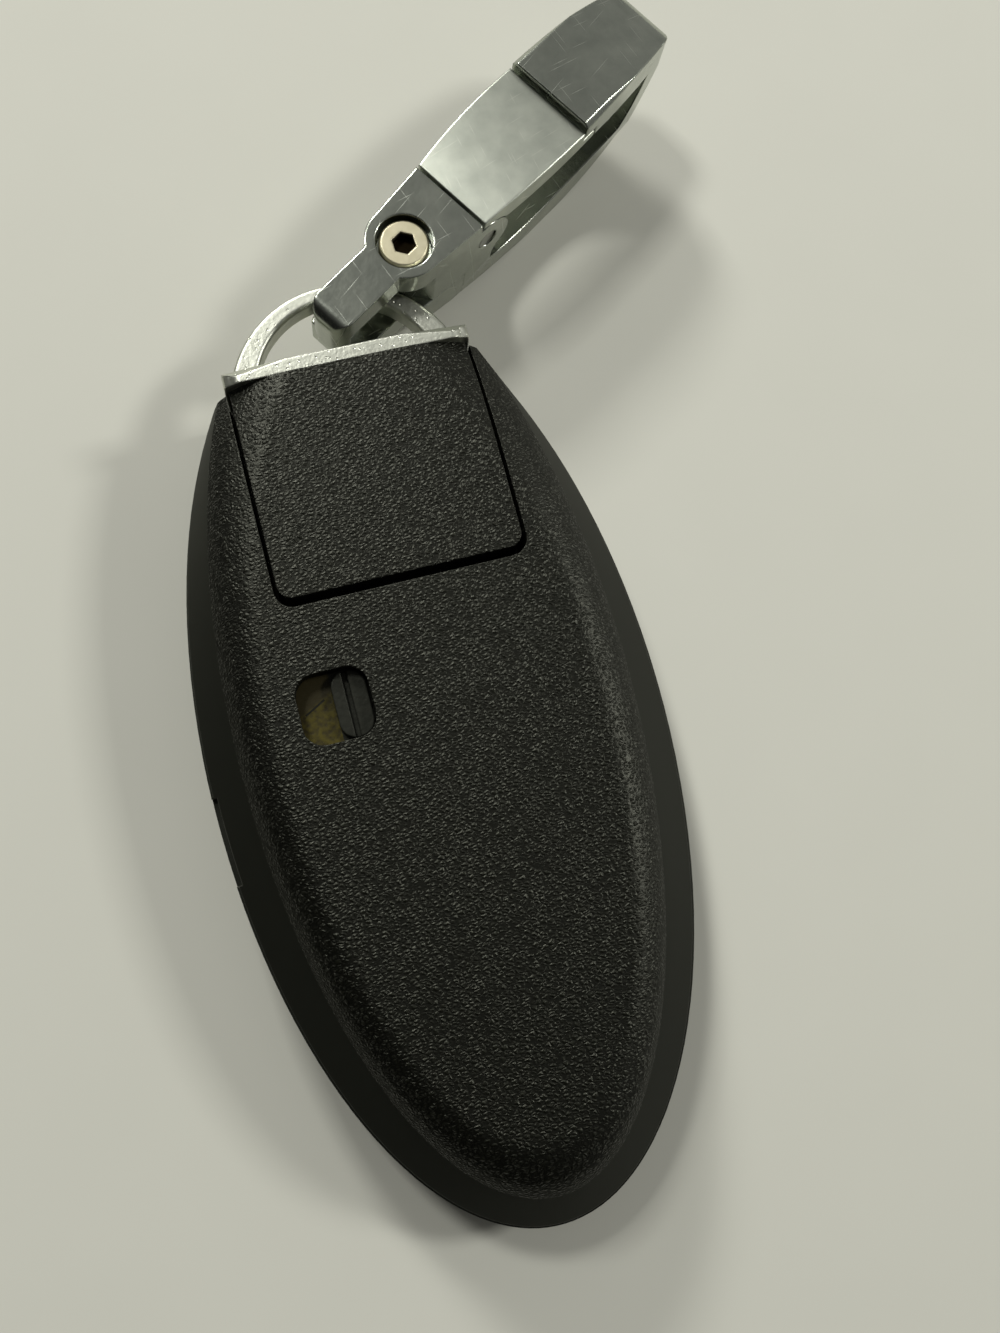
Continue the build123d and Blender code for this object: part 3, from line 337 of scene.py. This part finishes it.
# Coin cell, its two sprung contacts and the can of the crystal.
# Nickel-plated steel, pressed from bright sheet, with the faint drawing lines of the press.
bright_metal, tree, shader, place = new_finish("pressed_nickel_plate", 0.24, metallic=1.0)
drawn = rubs(tree, place, 12, 9.0, 0.25, 0.05)
tint = add(tree, "ShaderNodeMix", {"data_type": "RGBA"}, Factor=drawn, i6=linear("#c9c8c2"),
           i7=linear("#aeada8")).outputs[2]
tree.links.new(tint, shader.inputs["Base Color"])
rounded = add(tree, "ShaderNodeBevel", {"samples": 4}, Radius=0.15 * MM).outputs[0]
tree.links.new(rounded, shader.inputs["Normal"])
dress(bright_metal, "coin_cell", "cell_contact_negative", "cell_contact_positive", "crystal")

# Rear half of the case, and the black grip of the emergency key that fills its notch.
# Black ABS again. Above the crisp edge the tool was etched with a leather grain, so the
# surface glitters in small pebbles, and the creases between them are painted darker as shade. The side band
# below it stays satin.
GRAIN_FROM_Z = 10.45
PEBBLE = 0.4
CREASE = 0.2
GRAIN_DEPTH = 0.1
GRAIN_LIGHT = "#0e0f09"
CREASE_SHADE = "#020201"
BAND_GREY = "#161713"
# The walls are plainer than the real ones. Their normals are tipped up by these shares low
# down and by less higher up, so that the light rolls over them as over a rounded crown.
CROWN = 0.42
CROWN_FADES = (13.3, 14.0)
LOW_CROWN = 0.3
LOW_CROWN_FADES = (10.5, 12.2)

grained_abs, tree, shader, place = new_finish("leather_grained_abs", 0.38)
shader.inputs["IOR"].default_value = ABS_IOR
shader.inputs["Specular IOR Level"].default_value = ABS_GLOSS
shader.inputs["Specular Tint"].default_value = OLIVE_SHEEN
height_mm = add(tree, "ShaderNodeSeparateXYZ", Vector=place).outputs["Z"]
grained = add(tree, "ShaderNodeMapRange", Value=height_mm, From_Min=GRAIN_FROM_Z,
              From_Max=GRAIN_FROM_Z + 0.1).outputs[0]
wander = add(tree, "ShaderNodeTexNoise", Vector=place, Scale=1 / 0.5, Detail=2.0).outputs["Color"]
bent = add(tree, "ShaderNodeMix", {"data_type": "RGBA", "blend_type": "ADD"}, Factor=0.35, i6=place,
           i7=wander).outputs[2]
squeezed = add(tree, "ShaderNodeMapping", Vector=bent, Rotation=(0, 0, math.radians(-12)),
               Scale=(0.8 / PEBBLE, 1.25 / PEBBLE, 1 / PEBBLE)).outputs[0]
to_crease = add(tree, "ShaderNodeTexVoronoi", {"feature": "DISTANCE_TO_EDGE"}, Vector=squeezed,
                Scale=1.0).outputs["Distance"]
pebble = add(tree, "ShaderNodeMapRange", {"interpolation_type": "SMOOTHSTEP"}, Value=to_crease,
             From_Min=0.0, From_Max=CREASE / PEBBLE).outputs[0]
own_height = add(tree, "ShaderNodeTexNoise", Vector=squeezed, Scale=0.9, Detail=2.0).outputs["Fac"]
grain = add(tree, "ShaderNodeMath", {"operation": "MULTIPLY"}, i0=pebble, i1=own_height).outputs[0]
grain_height = add(tree, "ShaderNodeMath", {"operation": "MULTIPLY"}, i0=grain, i1=grained).outputs[0]

# Pebbles keep the grain's own black; the creases between them are painted darker as shade.
pebbles_and_crease_shade = add(tree, "ShaderNodeMix", {"data_type": "RGBA"}, Factor=pebble, i6=linear(CREASE_SHADE),
              i7=linear(GRAIN_LIGHT)).outputs[2]
cloudy = add(tree, "ShaderNodeTexNoise", Vector=place, Scale=1 / 4.0, Detail=4.0).outputs["Fac"]
band = add(tree, "ShaderNodeMix", {"data_type": "RGBA"}, Factor=cloudy, i6=linear(DULL_ABS),
           i7=linear(BAND_GREY)).outputs[2]
skin_colour = add(tree, "ShaderNodeMix", {"data_type": "RGBA"}, Factor=grained, i6=band,
                  i7=pebbles_and_crease_shade).outputs[2]
tree.links.new(skin_colour, shader.inputs["Base Color"])

rounded = add(tree, "ShaderNodeBevel", {"samples": 6}, Radius=SHELL_EDGE * MM).outputs[0]
crown = add(tree, "ShaderNodeMapRange", Value=height_mm, From_Min=CROWN_FADES[0], From_Max=CROWN_FADES[1],
            To_Min=CROWN, To_Max=0.0).outputs[0]
low_crown = add(tree, "ShaderNodeMapRange", Value=height_mm, From_Min=LOW_CROWN_FADES[0],
                From_Max=LOW_CROWN_FADES[1], To_Min=LOW_CROWN, To_Max=0.0).outputs[0]
low_crown = add(tree, "ShaderNodeMath", {"operation": "MULTIPLY"}, i0=low_crown, i1=grained).outputs[0]
crown = add(tree, "ShaderNodeMath", {"operation": "ADD"}, i0=crown, i1=low_crown).outputs[0]
lift = add(tree, "ShaderNodeCombineXYZ", Z=crown).outputs[0]
crowned = add(tree, "ShaderNodeVectorMath", {"operation": "ADD"}, i0=rounded, i1=lift).outputs[0]
crowned = add(tree, "ShaderNodeVectorMath", {"operation": "NORMALIZE"}, i0=crowned).outputs[0]
pebbled = add(tree, "ShaderNodeBump", Strength=1.0, Distance=GRAIN_DEPTH * MM, Height=grain_height,
              Normal=crowned).outputs[0]
pits = add(tree, "ShaderNodeTexNoise", Vector=place, Scale=1 / SPARK_PIT, Detail=2.0).outputs["Fac"]
pitted = add(tree, "ShaderNodeBump", Strength=0.5, Distance=PIT_DEPTH * MM, Height=pits,
             Normal=pebbled).outputs[0]
tree.links.new(pitted, shader.inputs["Normal"])
dress(grained_abs, "rear_shell", "key_head")

# Thumb slide in the window, which holds the key by its blade.
# Black acetal, moulded smooth so that it slides. Its thumb rib has worn to a dull grey, and
# the flat beside it holds an olive crust of dirt, cracked where a nail has pushed the rib.
THUMB_FROM_Z = 12.3
CRUST_TO_X = -8.45
CRUST_OLIVE = "#453e10"
CRUST_BROWN = "#2a2410"
CRUST_CRACK = "#0b0a07"
CRACK_START = (-11.1, 8.6, 12.1)
CRACK_ALONG = (0.881, 0.473, 0.0)
CRACK_ACROSS = (-0.473, 0.881, 0.0)
CRACK_LENGTH = 2.1
CRACK_WIDTH = 0.09
ACETAL_GLOSS = 0.25

latch_plastic, tree, shader, place = new_finish("worn_acetal", 0.45)
shader.inputs["Specular IOR Level"].default_value = ACETAL_GLOSS
shader.inputs["Specular Tint"].default_value = OLIVE_SHEEN
grime = add(tree, "ShaderNodeTexNoise", Vector=place, Scale=1 / 0.5, Detail=5.0).outputs["Fac"]
rib = add(tree, "ShaderNodeMix", {"data_type": "RGBA"}, Factor=grime, i6=linear("#0e0f0d"),
          i7=linear("#242520")).outputs[2]
from_crack = add(tree, "ShaderNodeVectorMath", {"operation": "SUBTRACT"}, i0=place,
                 i1=CRACK_START).outputs[0]
along = add(tree, "ShaderNodeVectorMath", {"operation": "DOT_PRODUCT"}, i0=from_crack,
            i1=CRACK_ALONG).outputs["Value"]
across = add(tree, "ShaderNodeVectorMath", {"operation": "DOT_PRODUCT"}, i0=from_crack,
             i1=CRACK_ACROSS).outputs["Value"]
past_crack = add(tree, "ShaderNodeMapRange", Value=across, From_Min=0.0, From_Max=0.3).outputs[0]
blotch = add(tree, "ShaderNodeMapRange", Value=grime, From_Min=0.35, From_Max=0.62).outputs[0]
crust = add(tree, "ShaderNodeMix", {"data_type": "RGBA"}, Factor=blotch, i6=linear(CRUST_BROWN),
            i7=linear(CRUST_OLIVE)).outputs[2]
crust = add(tree, "ShaderNodeMix", {"data_type": "RGBA"}, Factor=past_crack, i6=crust,
            i7=linear(CRUST_BROWN)).outputs[2]
beside = add(tree, "ShaderNodeMath", {"operation": "ABSOLUTE"}, i0=across).outputs[0]
thin = add(tree, "ShaderNodeMath", {"operation": "LESS_THAN"}, i0=beside, i1=CRACK_WIDTH).outputs[0]
from_centre = add(tree, "ShaderNodeMath", {"operation": "SUBTRACT"}, i0=along,
                  i1=CRACK_LENGTH / 2).outputs[0]
to_end = add(tree, "ShaderNodeMath", {"operation": "ABSOLUTE"}, i0=from_centre).outputs[0]
short = add(tree, "ShaderNodeMath", {"operation": "LESS_THAN"}, i0=to_end, i1=CRACK_LENGTH / 2).outputs[0]
crack = add(tree, "ShaderNodeMath", {"operation": "MULTIPLY"}, i0=thin, i1=short).outputs[0]
crust = add(tree, "ShaderNodeMix", {"data_type": "RGBA"}, Factor=crack, i6=crust,
            i7=linear(CRUST_CRACK)).outputs[2]
parts_mm = add(tree, "ShaderNodeSeparateXYZ", Vector=place).outputs
high = add(tree, "ShaderNodeMath", {"operation": "GREATER_THAN"}, i0=parts_mm["Z"],
           i1=THUMB_FROM_Z).outputs[0]
right = add(tree, "ShaderNodeMath", {"operation": "GREATER_THAN"}, i0=parts_mm["X"],
            i1=CRUST_TO_X).outputs[0]
on_rib = add(tree, "ShaderNodeMath", {"operation": "MAXIMUM"}, i0=high, i1=right).outputs[0]
tint = add(tree, "ShaderNodeMix", {"data_type": "RGBA"}, Factor=on_rib, i6=crust, i7=rib).outputs[2]
tree.links.new(tint, shader.inputs["Base Color"])
rounded = add(tree, "ShaderNodeBevel", {"samples": 6}, Radius=0.2 * MM).outputs[0]
skin = add(tree, "ShaderNodeBump", Strength=0.8, Distance=0.04 * MM, Height=grime,
           Normal=rounded).outputs[0]
tree.links.new(skin, shader.inputs["Normal"])
dress(latch_plastic, "latch_slider")

spring_steel, tree, shader, place = new_finish("drawn_spring_steel", 0.3, metallic=1.0)
drawn = rubs(tree, place, 33, 3.0, 0.12, 0.06)
tint = add(tree, "ShaderNodeMix", {"data_type": "RGBA"}, Factor=drawn, i6=linear("#a3a39e"),
           i7=linear("#80807b")).outputs[2]
tree.links.new(tint, shader.inputs["Base Color"])
dress(spring_steel, "gate_pin")


def sprung(name, node, body):
    """Copy of a spring's wire in spring steel, carried by a body in place of its CAD node."""
    wire = nodes[node].data.copy()
    wire.materials.clear()
    wire.materials.append(spring_steel)
    spring = bpy.data.objects.new(name, wire)
    bpy.context.scene.collection.objects.link(spring)
    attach(spring, body)
    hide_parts(node)
    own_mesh(spring)


sprung("latch_coil", "latch_spring", "case")
sprung("gate_coil", "gate_spring", "clip")

# Emergency key's blade, a steel strip milled along its side with the key's track.
# The cutter leaves straight marks along the blade, which stretch the highlights. Its root,
# where it goes into the grip, is painted dark as shade.
ROOT_FROM_Y = 16.0
ROOT_FADE = 1

blade_steel, tree, shader, place = new_finish("milled_steel", 0.3, metallic=1.0)
cutter = rubs(tree, place, 90, 12.0, 0.18, 0.06)
tint = add(tree, "ShaderNodeMix", {"data_type": "RGBA"}, Factor=cutter, i6=linear("#b9b6a8"),
           i7=linear("#96938a")).outputs[2]
# From here on towards the grip the blade is painted dark as shade.
along_blade = add(tree, "ShaderNodeSeparateXYZ", Vector=place).outputs["Y"]
root_shade = add(tree, "ShaderNodeMapRange", Value=along_blade, From_Min=ROOT_FROM_Y,
           From_Max=ROOT_FROM_Y + ROOT_FADE).outputs[0]
tint = add(tree, "ShaderNodeMix", {"data_type": "RGBA"}, Factor=root_shade, i6=tint,
           i7=linear("#0c0c0b")).outputs[2]
tree.links.new(tint, shader.inputs["Base Color"])
rounded = add(tree, "ShaderNodeBevel", {"samples": 4}, Radius=0.12 * MM).outputs[0]
milled = add(tree, "ShaderNodeBump", Strength=0.5, Distance=0.01 * MM, Height=cutter,
             Normal=rounded).outputs[0]
tree.links.new(milled, shader.inputs["Normal"])
dress(blade_steel, "key_blade")

# End plate and ring of the emergency key, in one die casting of zinc.
# Tumbled and thinly plated, so it is pale and satin with small open pits. Its plate is raised
# level with the grip, to show as a bright strip, and widened to close the gaps beside it.
PLATE_TOP_FROM_Z = 12.1
PLATE_RISE = 0.7
PLATE_SIDE_FROM_X = 10.6
PLATE_WIDEN = 0.45

bail_zinc, tree, shader, place = new_finish("tumbled_cast_zinc", 0.38, metallic=1.0)
mottle = add(tree, "ShaderNodeTexNoise", Vector=place, Scale=1 / 1.2, Detail=5.0).outputs["Fac"]
tint = add(tree, "ShaderNodeMix", {"data_type": "RGBA"}, Factor=mottle, i6=linear("#a9aba0"),
           i7=linear("#d0d2c6")).outputs[2]
tree.links.new(tint, shader.inputs["Base Color"])
holes = add(tree, "ShaderNodeTexVoronoi", Vector=place, Scale=1 / 0.6).outputs["Distance"]
holes = add(tree, "ShaderNodeMapRange", Value=holes, From_Min=0.05, From_Max=0.22).outputs[0]
ripple = add(tree, "ShaderNodeTexNoise", Vector=place, Scale=1 / 0.35, Detail=3.0).outputs["Fac"]
rounded = add(tree, "ShaderNodeBevel", {"samples": 6}, Radius=0.22 * MM).outputs[0]
pitted = add(tree, "ShaderNodeBump", Strength=0.9, Distance=0.05 * MM, Height=holes,
             Normal=rounded).outputs[0]
waved = add(tree, "ShaderNodeBump", Strength=0.6, Distance=0.04 * MM, Height=ripple,
            Normal=pitted).outputs[0]
tree.links.new(waved, shader.inputs["Normal"])

casting = nodes["bail"].data.copy()
for vertex in casting.vertices:
    if vertex.co.z > PLATE_TOP_FROM_Z * MM:
        vertex.co.z += PLATE_RISE * MM
    if abs(vertex.co.x) > PLATE_SIDE_FROM_X * MM:
        vertex.co.x += math.copysign(PLATE_WIDEN * MM, vertex.co.x)
casting.materials.clear()
casting.materials.append(bail_zinc)
plate_and_ring = bpy.data.objects.new("plate_and_ring", casting)
bpy.context.scene.collection.objects.link(plate_and_ring)
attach(plate_and_ring, "emergency_key")
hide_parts("bail")

# Clip's body with its arm, boss, spine and nose, and the jaw under it, two zinc castings.
# Barrel-polished and nickel-plated, so they shine; wear has since scratched them every way.
POLISHED = 0.22
SCRATCHED = 0.34
# A scratch takes this share of its cell of the pattern, and is tilted to reach the walls too.
SCRATCH_SHARE = 0.12
SCRATCH_TILT = (0.2, 0.3)


def scratches(tree, place_mm, turn_deg, length_mm, width_mm):
    """Sparse straight scratches that lie along one direction: 1 on a scratch, 0 beside it."""
    along = add(tree, "ShaderNodeMapping", {"vector_type": "TEXTURE"}, Vector=place_mm,
                Rotation=(*SCRATCH_TILT, math.radians(turn_deg)),
                Scale=(length_mm / SCRATCH_SHARE, width_mm / SCRATCH_SHARE,
                       width_mm / SCRATCH_SHARE)).outputs[0]
    away = add(tree, "ShaderNodeTexVoronoi", {"voronoi_dimensions": "2D"}, Vector=along,
               Scale=1.0).outputs["Distance"]
    return add(tree, "ShaderNodeMapRange", Value=away, From_Min=0.0, From_Max=SCRATCH_SHARE / 2,
               To_Min=1.0, To_Max=0.0).outputs[0]


clip_zinc, tree, shader, place = new_finish("polished_cast_zinc", POLISHED, metallic=1.0)
mottle = add(tree, "ShaderNodeTexNoise", Vector=place, Scale=1 / 2.5, Detail=8.0,
             Roughness=0.6).outputs["Fac"]
long_rubs = scratches(tree, place, 42, 4.0, 0.07)
cross_rubs = scratches(tree, place, 20, 2.4, 0.08)
steep_rubs = scratches(tree, place, -65, 3.0, 0.06)
scratched = add(tree, "ShaderNodeMath", {"operation": "MAXIMUM"}, i0=long_rubs, i1=cross_rubs).outputs[0]
scratched = add(tree, "ShaderNodeMath", {"operation": "MAXIMUM"}, i0=scratched, i1=steep_rubs).outputs[0]
tint = add(tree, "ShaderNodeMix", {"data_type": "RGBA"}, Factor=mottle, i6=linear("#8a8f87"),
           i7=linear("#bdc1b5")).outputs[2]
tint = add(tree, "ShaderNodeMix", {"data_type": "RGBA"}, Factor=scratched, i6=tint,
           i7=linear("#c0c3b9")).outputs[2]
tree.links.new(tint, shader.inputs["Base Color"])
dull = add(tree, "ShaderNodeMapRange", Value=scratched, From_Min=0.0, From_Max=1.0,
           To_Min=POLISHED, To_Max=SCRATCHED).outputs[0]
tree.links.new(dull, shader.inputs["Roughness"])
rounded = add(tree, "ShaderNodeBevel", {"samples": 8}, Radius=0.28 * MM).outputs[0]
scored = add(tree, "ShaderNodeBump", {"invert": True}, Strength=0.5, Distance=0.005 * MM,
             Height=scratched, Normal=rounded).outputs[0]
ripple = add(tree, "ShaderNodeTexNoise", Vector=place, Scale=1 / 1.4, Detail=5.0).outputs["Fac"]
waved = add(tree, "ShaderNodeBump", Strength=0.5, Distance=0.07 * MM, Height=ripple,
            Normal=scored).outputs[0]
tree.links.new(waved, shader.inputs["Normal"])
dress(clip_zinc, "hook_body", "shackle_jaw")

# Socket head screw that holds the jaw to the clip's body.
# Turned steel with a yellow zinc plating that has dulled to a warm beige. Its socket is painted dark as
# shade.
SCREW_AT = (7.7, 48.66, 0.0)
SOCKET_RADIUS = 1.45
SOCKET_FROM_Z = 12.9
SOCKET_FADE = 0.6

screw_steel, tree, shader, place = new_finish("yellow_zinc_plated_steel", 0.4, metallic=1.0)
stain = add(tree, "ShaderNodeTexNoise", Vector=place, Scale=1 / 0.8, Detail=4.0).outputs["Fac"]
tint = add(tree, "ShaderNodeMix", {"data_type": "RGBA"}, Factor=stain, i6=linear("#b9b295"),
           i7=linear("#d2ccb2")).outputs[2]
# Inside the socket, below its rim, the colour is painted dark as shade.
from_axis = add(tree, "ShaderNodeVectorMath", {"operation": "SUBTRACT"}, i0=place,
                i1=SCREW_AT).outputs[0]
flat = add(tree, "ShaderNodeVectorMath", {"operation": "MULTIPLY"}, i0=from_axis,
           i1=(1, 1, 0)).outputs[0]
radius = add(tree, "ShaderNodeVectorMath", {"operation": "LENGTH"}, i0=flat).outputs["Value"]
inner = add(tree, "ShaderNodeMath", {"operation": "LESS_THAN"}, i0=radius, i1=SOCKET_RADIUS).outputs[0]
height_mm = add(tree, "ShaderNodeSeparateXYZ", Vector=place).outputs["Z"]
sunk = add(tree, "ShaderNodeMapRange", Value=height_mm, From_Min=SOCKET_FROM_Z - SOCKET_FADE,
           From_Max=SOCKET_FROM_Z, To_Min=1.0, To_Max=0.0).outputs[0]
socket_shade = add(tree, "ShaderNodeMath", {"operation": "MULTIPLY"}, i0=inner, i1=sunk).outputs[0]
tint = add(tree, "ShaderNodeMix", {"data_type": "RGBA"}, Factor=socket_shade, i6=tint,
           i7=linear("#1a150d")).outputs[2]
tree.links.new(tint, shader.inputs["Base Color"])
rounded = add(tree, "ShaderNodeBevel", {"samples": 6}, Radius=0.2 * MM).outputs[0]
turned = add(tree, "ShaderNodeBump", Strength=0.4, Distance=0.02 * MM, Height=stain,
             Normal=rounded).outputs[0]
tree.links.new(turned, shader.inputs["Normal"])
dress(screw_steel, "shackle_screw")

# Gate of the clip, hung on its pin and pressed inwards against its spring to open.
# Cast zinc again, but brushed along its back before plating, so it is duller than the body.
gate_zinc, tree, shader, place = new_finish("brushed_cast_zinc", 0.36, metallic=1.0)
mottle = add(tree, "ShaderNodeTexNoise", Vector=place, Scale=1 / 2.0, Detail=6.0).outputs["Fac"]
brushed = rubs(tree, place, 40, 5.0, 0.12, 0.05)
crossed = scratches(tree, place, 25, 2.4, 0.06)
nicked = scratches(tree, place, -75, 1.6, 0.07)
scratched = add(tree, "ShaderNodeMath", {"operation": "MAXIMUM"}, i0=crossed, i1=nicked).outputs[0]
tint = add(tree, "ShaderNodeMix", {"data_type": "RGBA"}, Factor=mottle, i6=linear("#a6aba1"),
           i7=linear("#d6dacd")).outputs[2]
tint = add(tree, "ShaderNodeMix", {"data_type": "RGBA"}, Factor=scratched, i6=tint,
           i7=linear("#d8dacf")).outputs[2]
tree.links.new(tint, shader.inputs["Base Color"])
rounded = add(tree, "ShaderNodeBevel", {"samples": 8}, Radius=0.3 * MM).outputs[0]
scored = add(tree, "ShaderNodeBump", {"invert": True}, Strength=0.25, Distance=0.004 * MM,
             Height=brushed, Normal=rounded).outputs[0]
scored = add(tree, "ShaderNodeBump", {"invert": True}, Strength=0.5, Distance=0.005 * MM,
             Height=scratched, Normal=scored).outputs[0]
tree.links.new(scored, shader.inputs["Normal"])
dress(gate_zinc, "gate")

# Plain pale floor under the fob.
# Matt and uncoated, slightly warm, and very faintly mottled.
FLOOR_SIZE = 3.0

paper, tree, shader, place = new_finish("uncoated_paper", 0.9)
mottle = add(tree, "ShaderNodeTexNoise", Vector=place, Scale=1 / 12.0, Detail=4.0).outputs["Fac"]
tint = add(tree, "ShaderNodeMix", {"data_type": "RGBA"}, Factor=mottle, i6=linear("#c8c8be"),
           i7=linear("#cbcbc1")).outputs[2]
tree.links.new(tint, shader.inputs["Base Color"])
bpy.ops.mesh.primitive_plane_add(size=FLOOR_SIZE, location=(0, 0, 0))
floor = bpy.context.object
floor.name = "paper"
floor.data.materials.append(paper)

# Camera at the photograph's viewing angle.
# Its place and turn were fitted to the outline of the case, with a wide lens held close.
CAMERA_SPOT = Vector((-9.643, -7.456, 123.147)) * MM
CAMERA_TURN = Matrix(((0.9611, 0.2382, -0.1399), (-0.2577, 0.9556, -0.1428), (0.0997, 0.1733, 0.9798)))
camera = bpy.data.cameras.new("camera")
camera.lens = 35
camera.sensor_width = 36
camera.clip_start = 0.005
camera_object = bpy.data.objects.new("camera", camera)
camera_object.matrix_world = Matrix.Translation(CAMERA_SPOT) @ CAMERA_TURN.to_4x4()
bpy.context.scene.collection.objects.link(camera_object)
bpy.context.scene.camera = camera_object
bpy.context.scene.view_settings.view_transform = "Standard"

# Room and three softboxes of a plain studio.
# A warm white room that glows more from the upper right, and square lamps from the upper
# left, the top and the right.
WARM_WHITE = (1.0, 0.995, 0.95)
ROOM_LOW = 0.015
ROOM_HIGH = 0.32
GLOW_FROM = (0.6, 0.45, 0.1)
world = bpy.data.worlds.new("room")
world.use_nodes = True
tree = world.node_tree
toward = add(tree, "ShaderNodeTexCoord").outputs["Generated"]
side = add(tree, "ShaderNodeVectorMath", {"operation": "DOT_PRODUCT"}, i0=toward,
           i1=GLOW_FROM).outputs["Value"]
glow = add(tree, "ShaderNodeMapRange", Value=side, From_Min=-0.4, From_Max=0.7, To_Min=ROOM_LOW,
           To_Max=ROOM_HIGH).outputs[0]
tree.links.new(glow, tree.nodes["Background"].inputs["Strength"])
tree.nodes["Background"].inputs["Color"].default_value = (*WARM_WHITE, 1)
bpy.context.scene.world = world


def softbox(name, spot_mm, size_mm, watts):
    """Square lamp that points at the fob."""
    light = bpy.data.lights.new(name, "AREA")
    light.size = size_mm * MM
    light.energy = watts
    light.color = WARM_WHITE
    holder = bpy.data.objects.new(name, light)
    holder.location = Vector(spot_mm) * MM
    holder.rotation_euler = (-holder.location).to_track_quat("-Z", "Y").to_euler()
    bpy.context.scene.collection.objects.link(holder)


softbox("upper_left_softbox", (-216, 495, 720), 150, 2.70)
softbox("top_softbox", (-91, 761, 471), 150, 3.97)
softbox("right_softbox", (667, 18, 604), 130, 2.98)
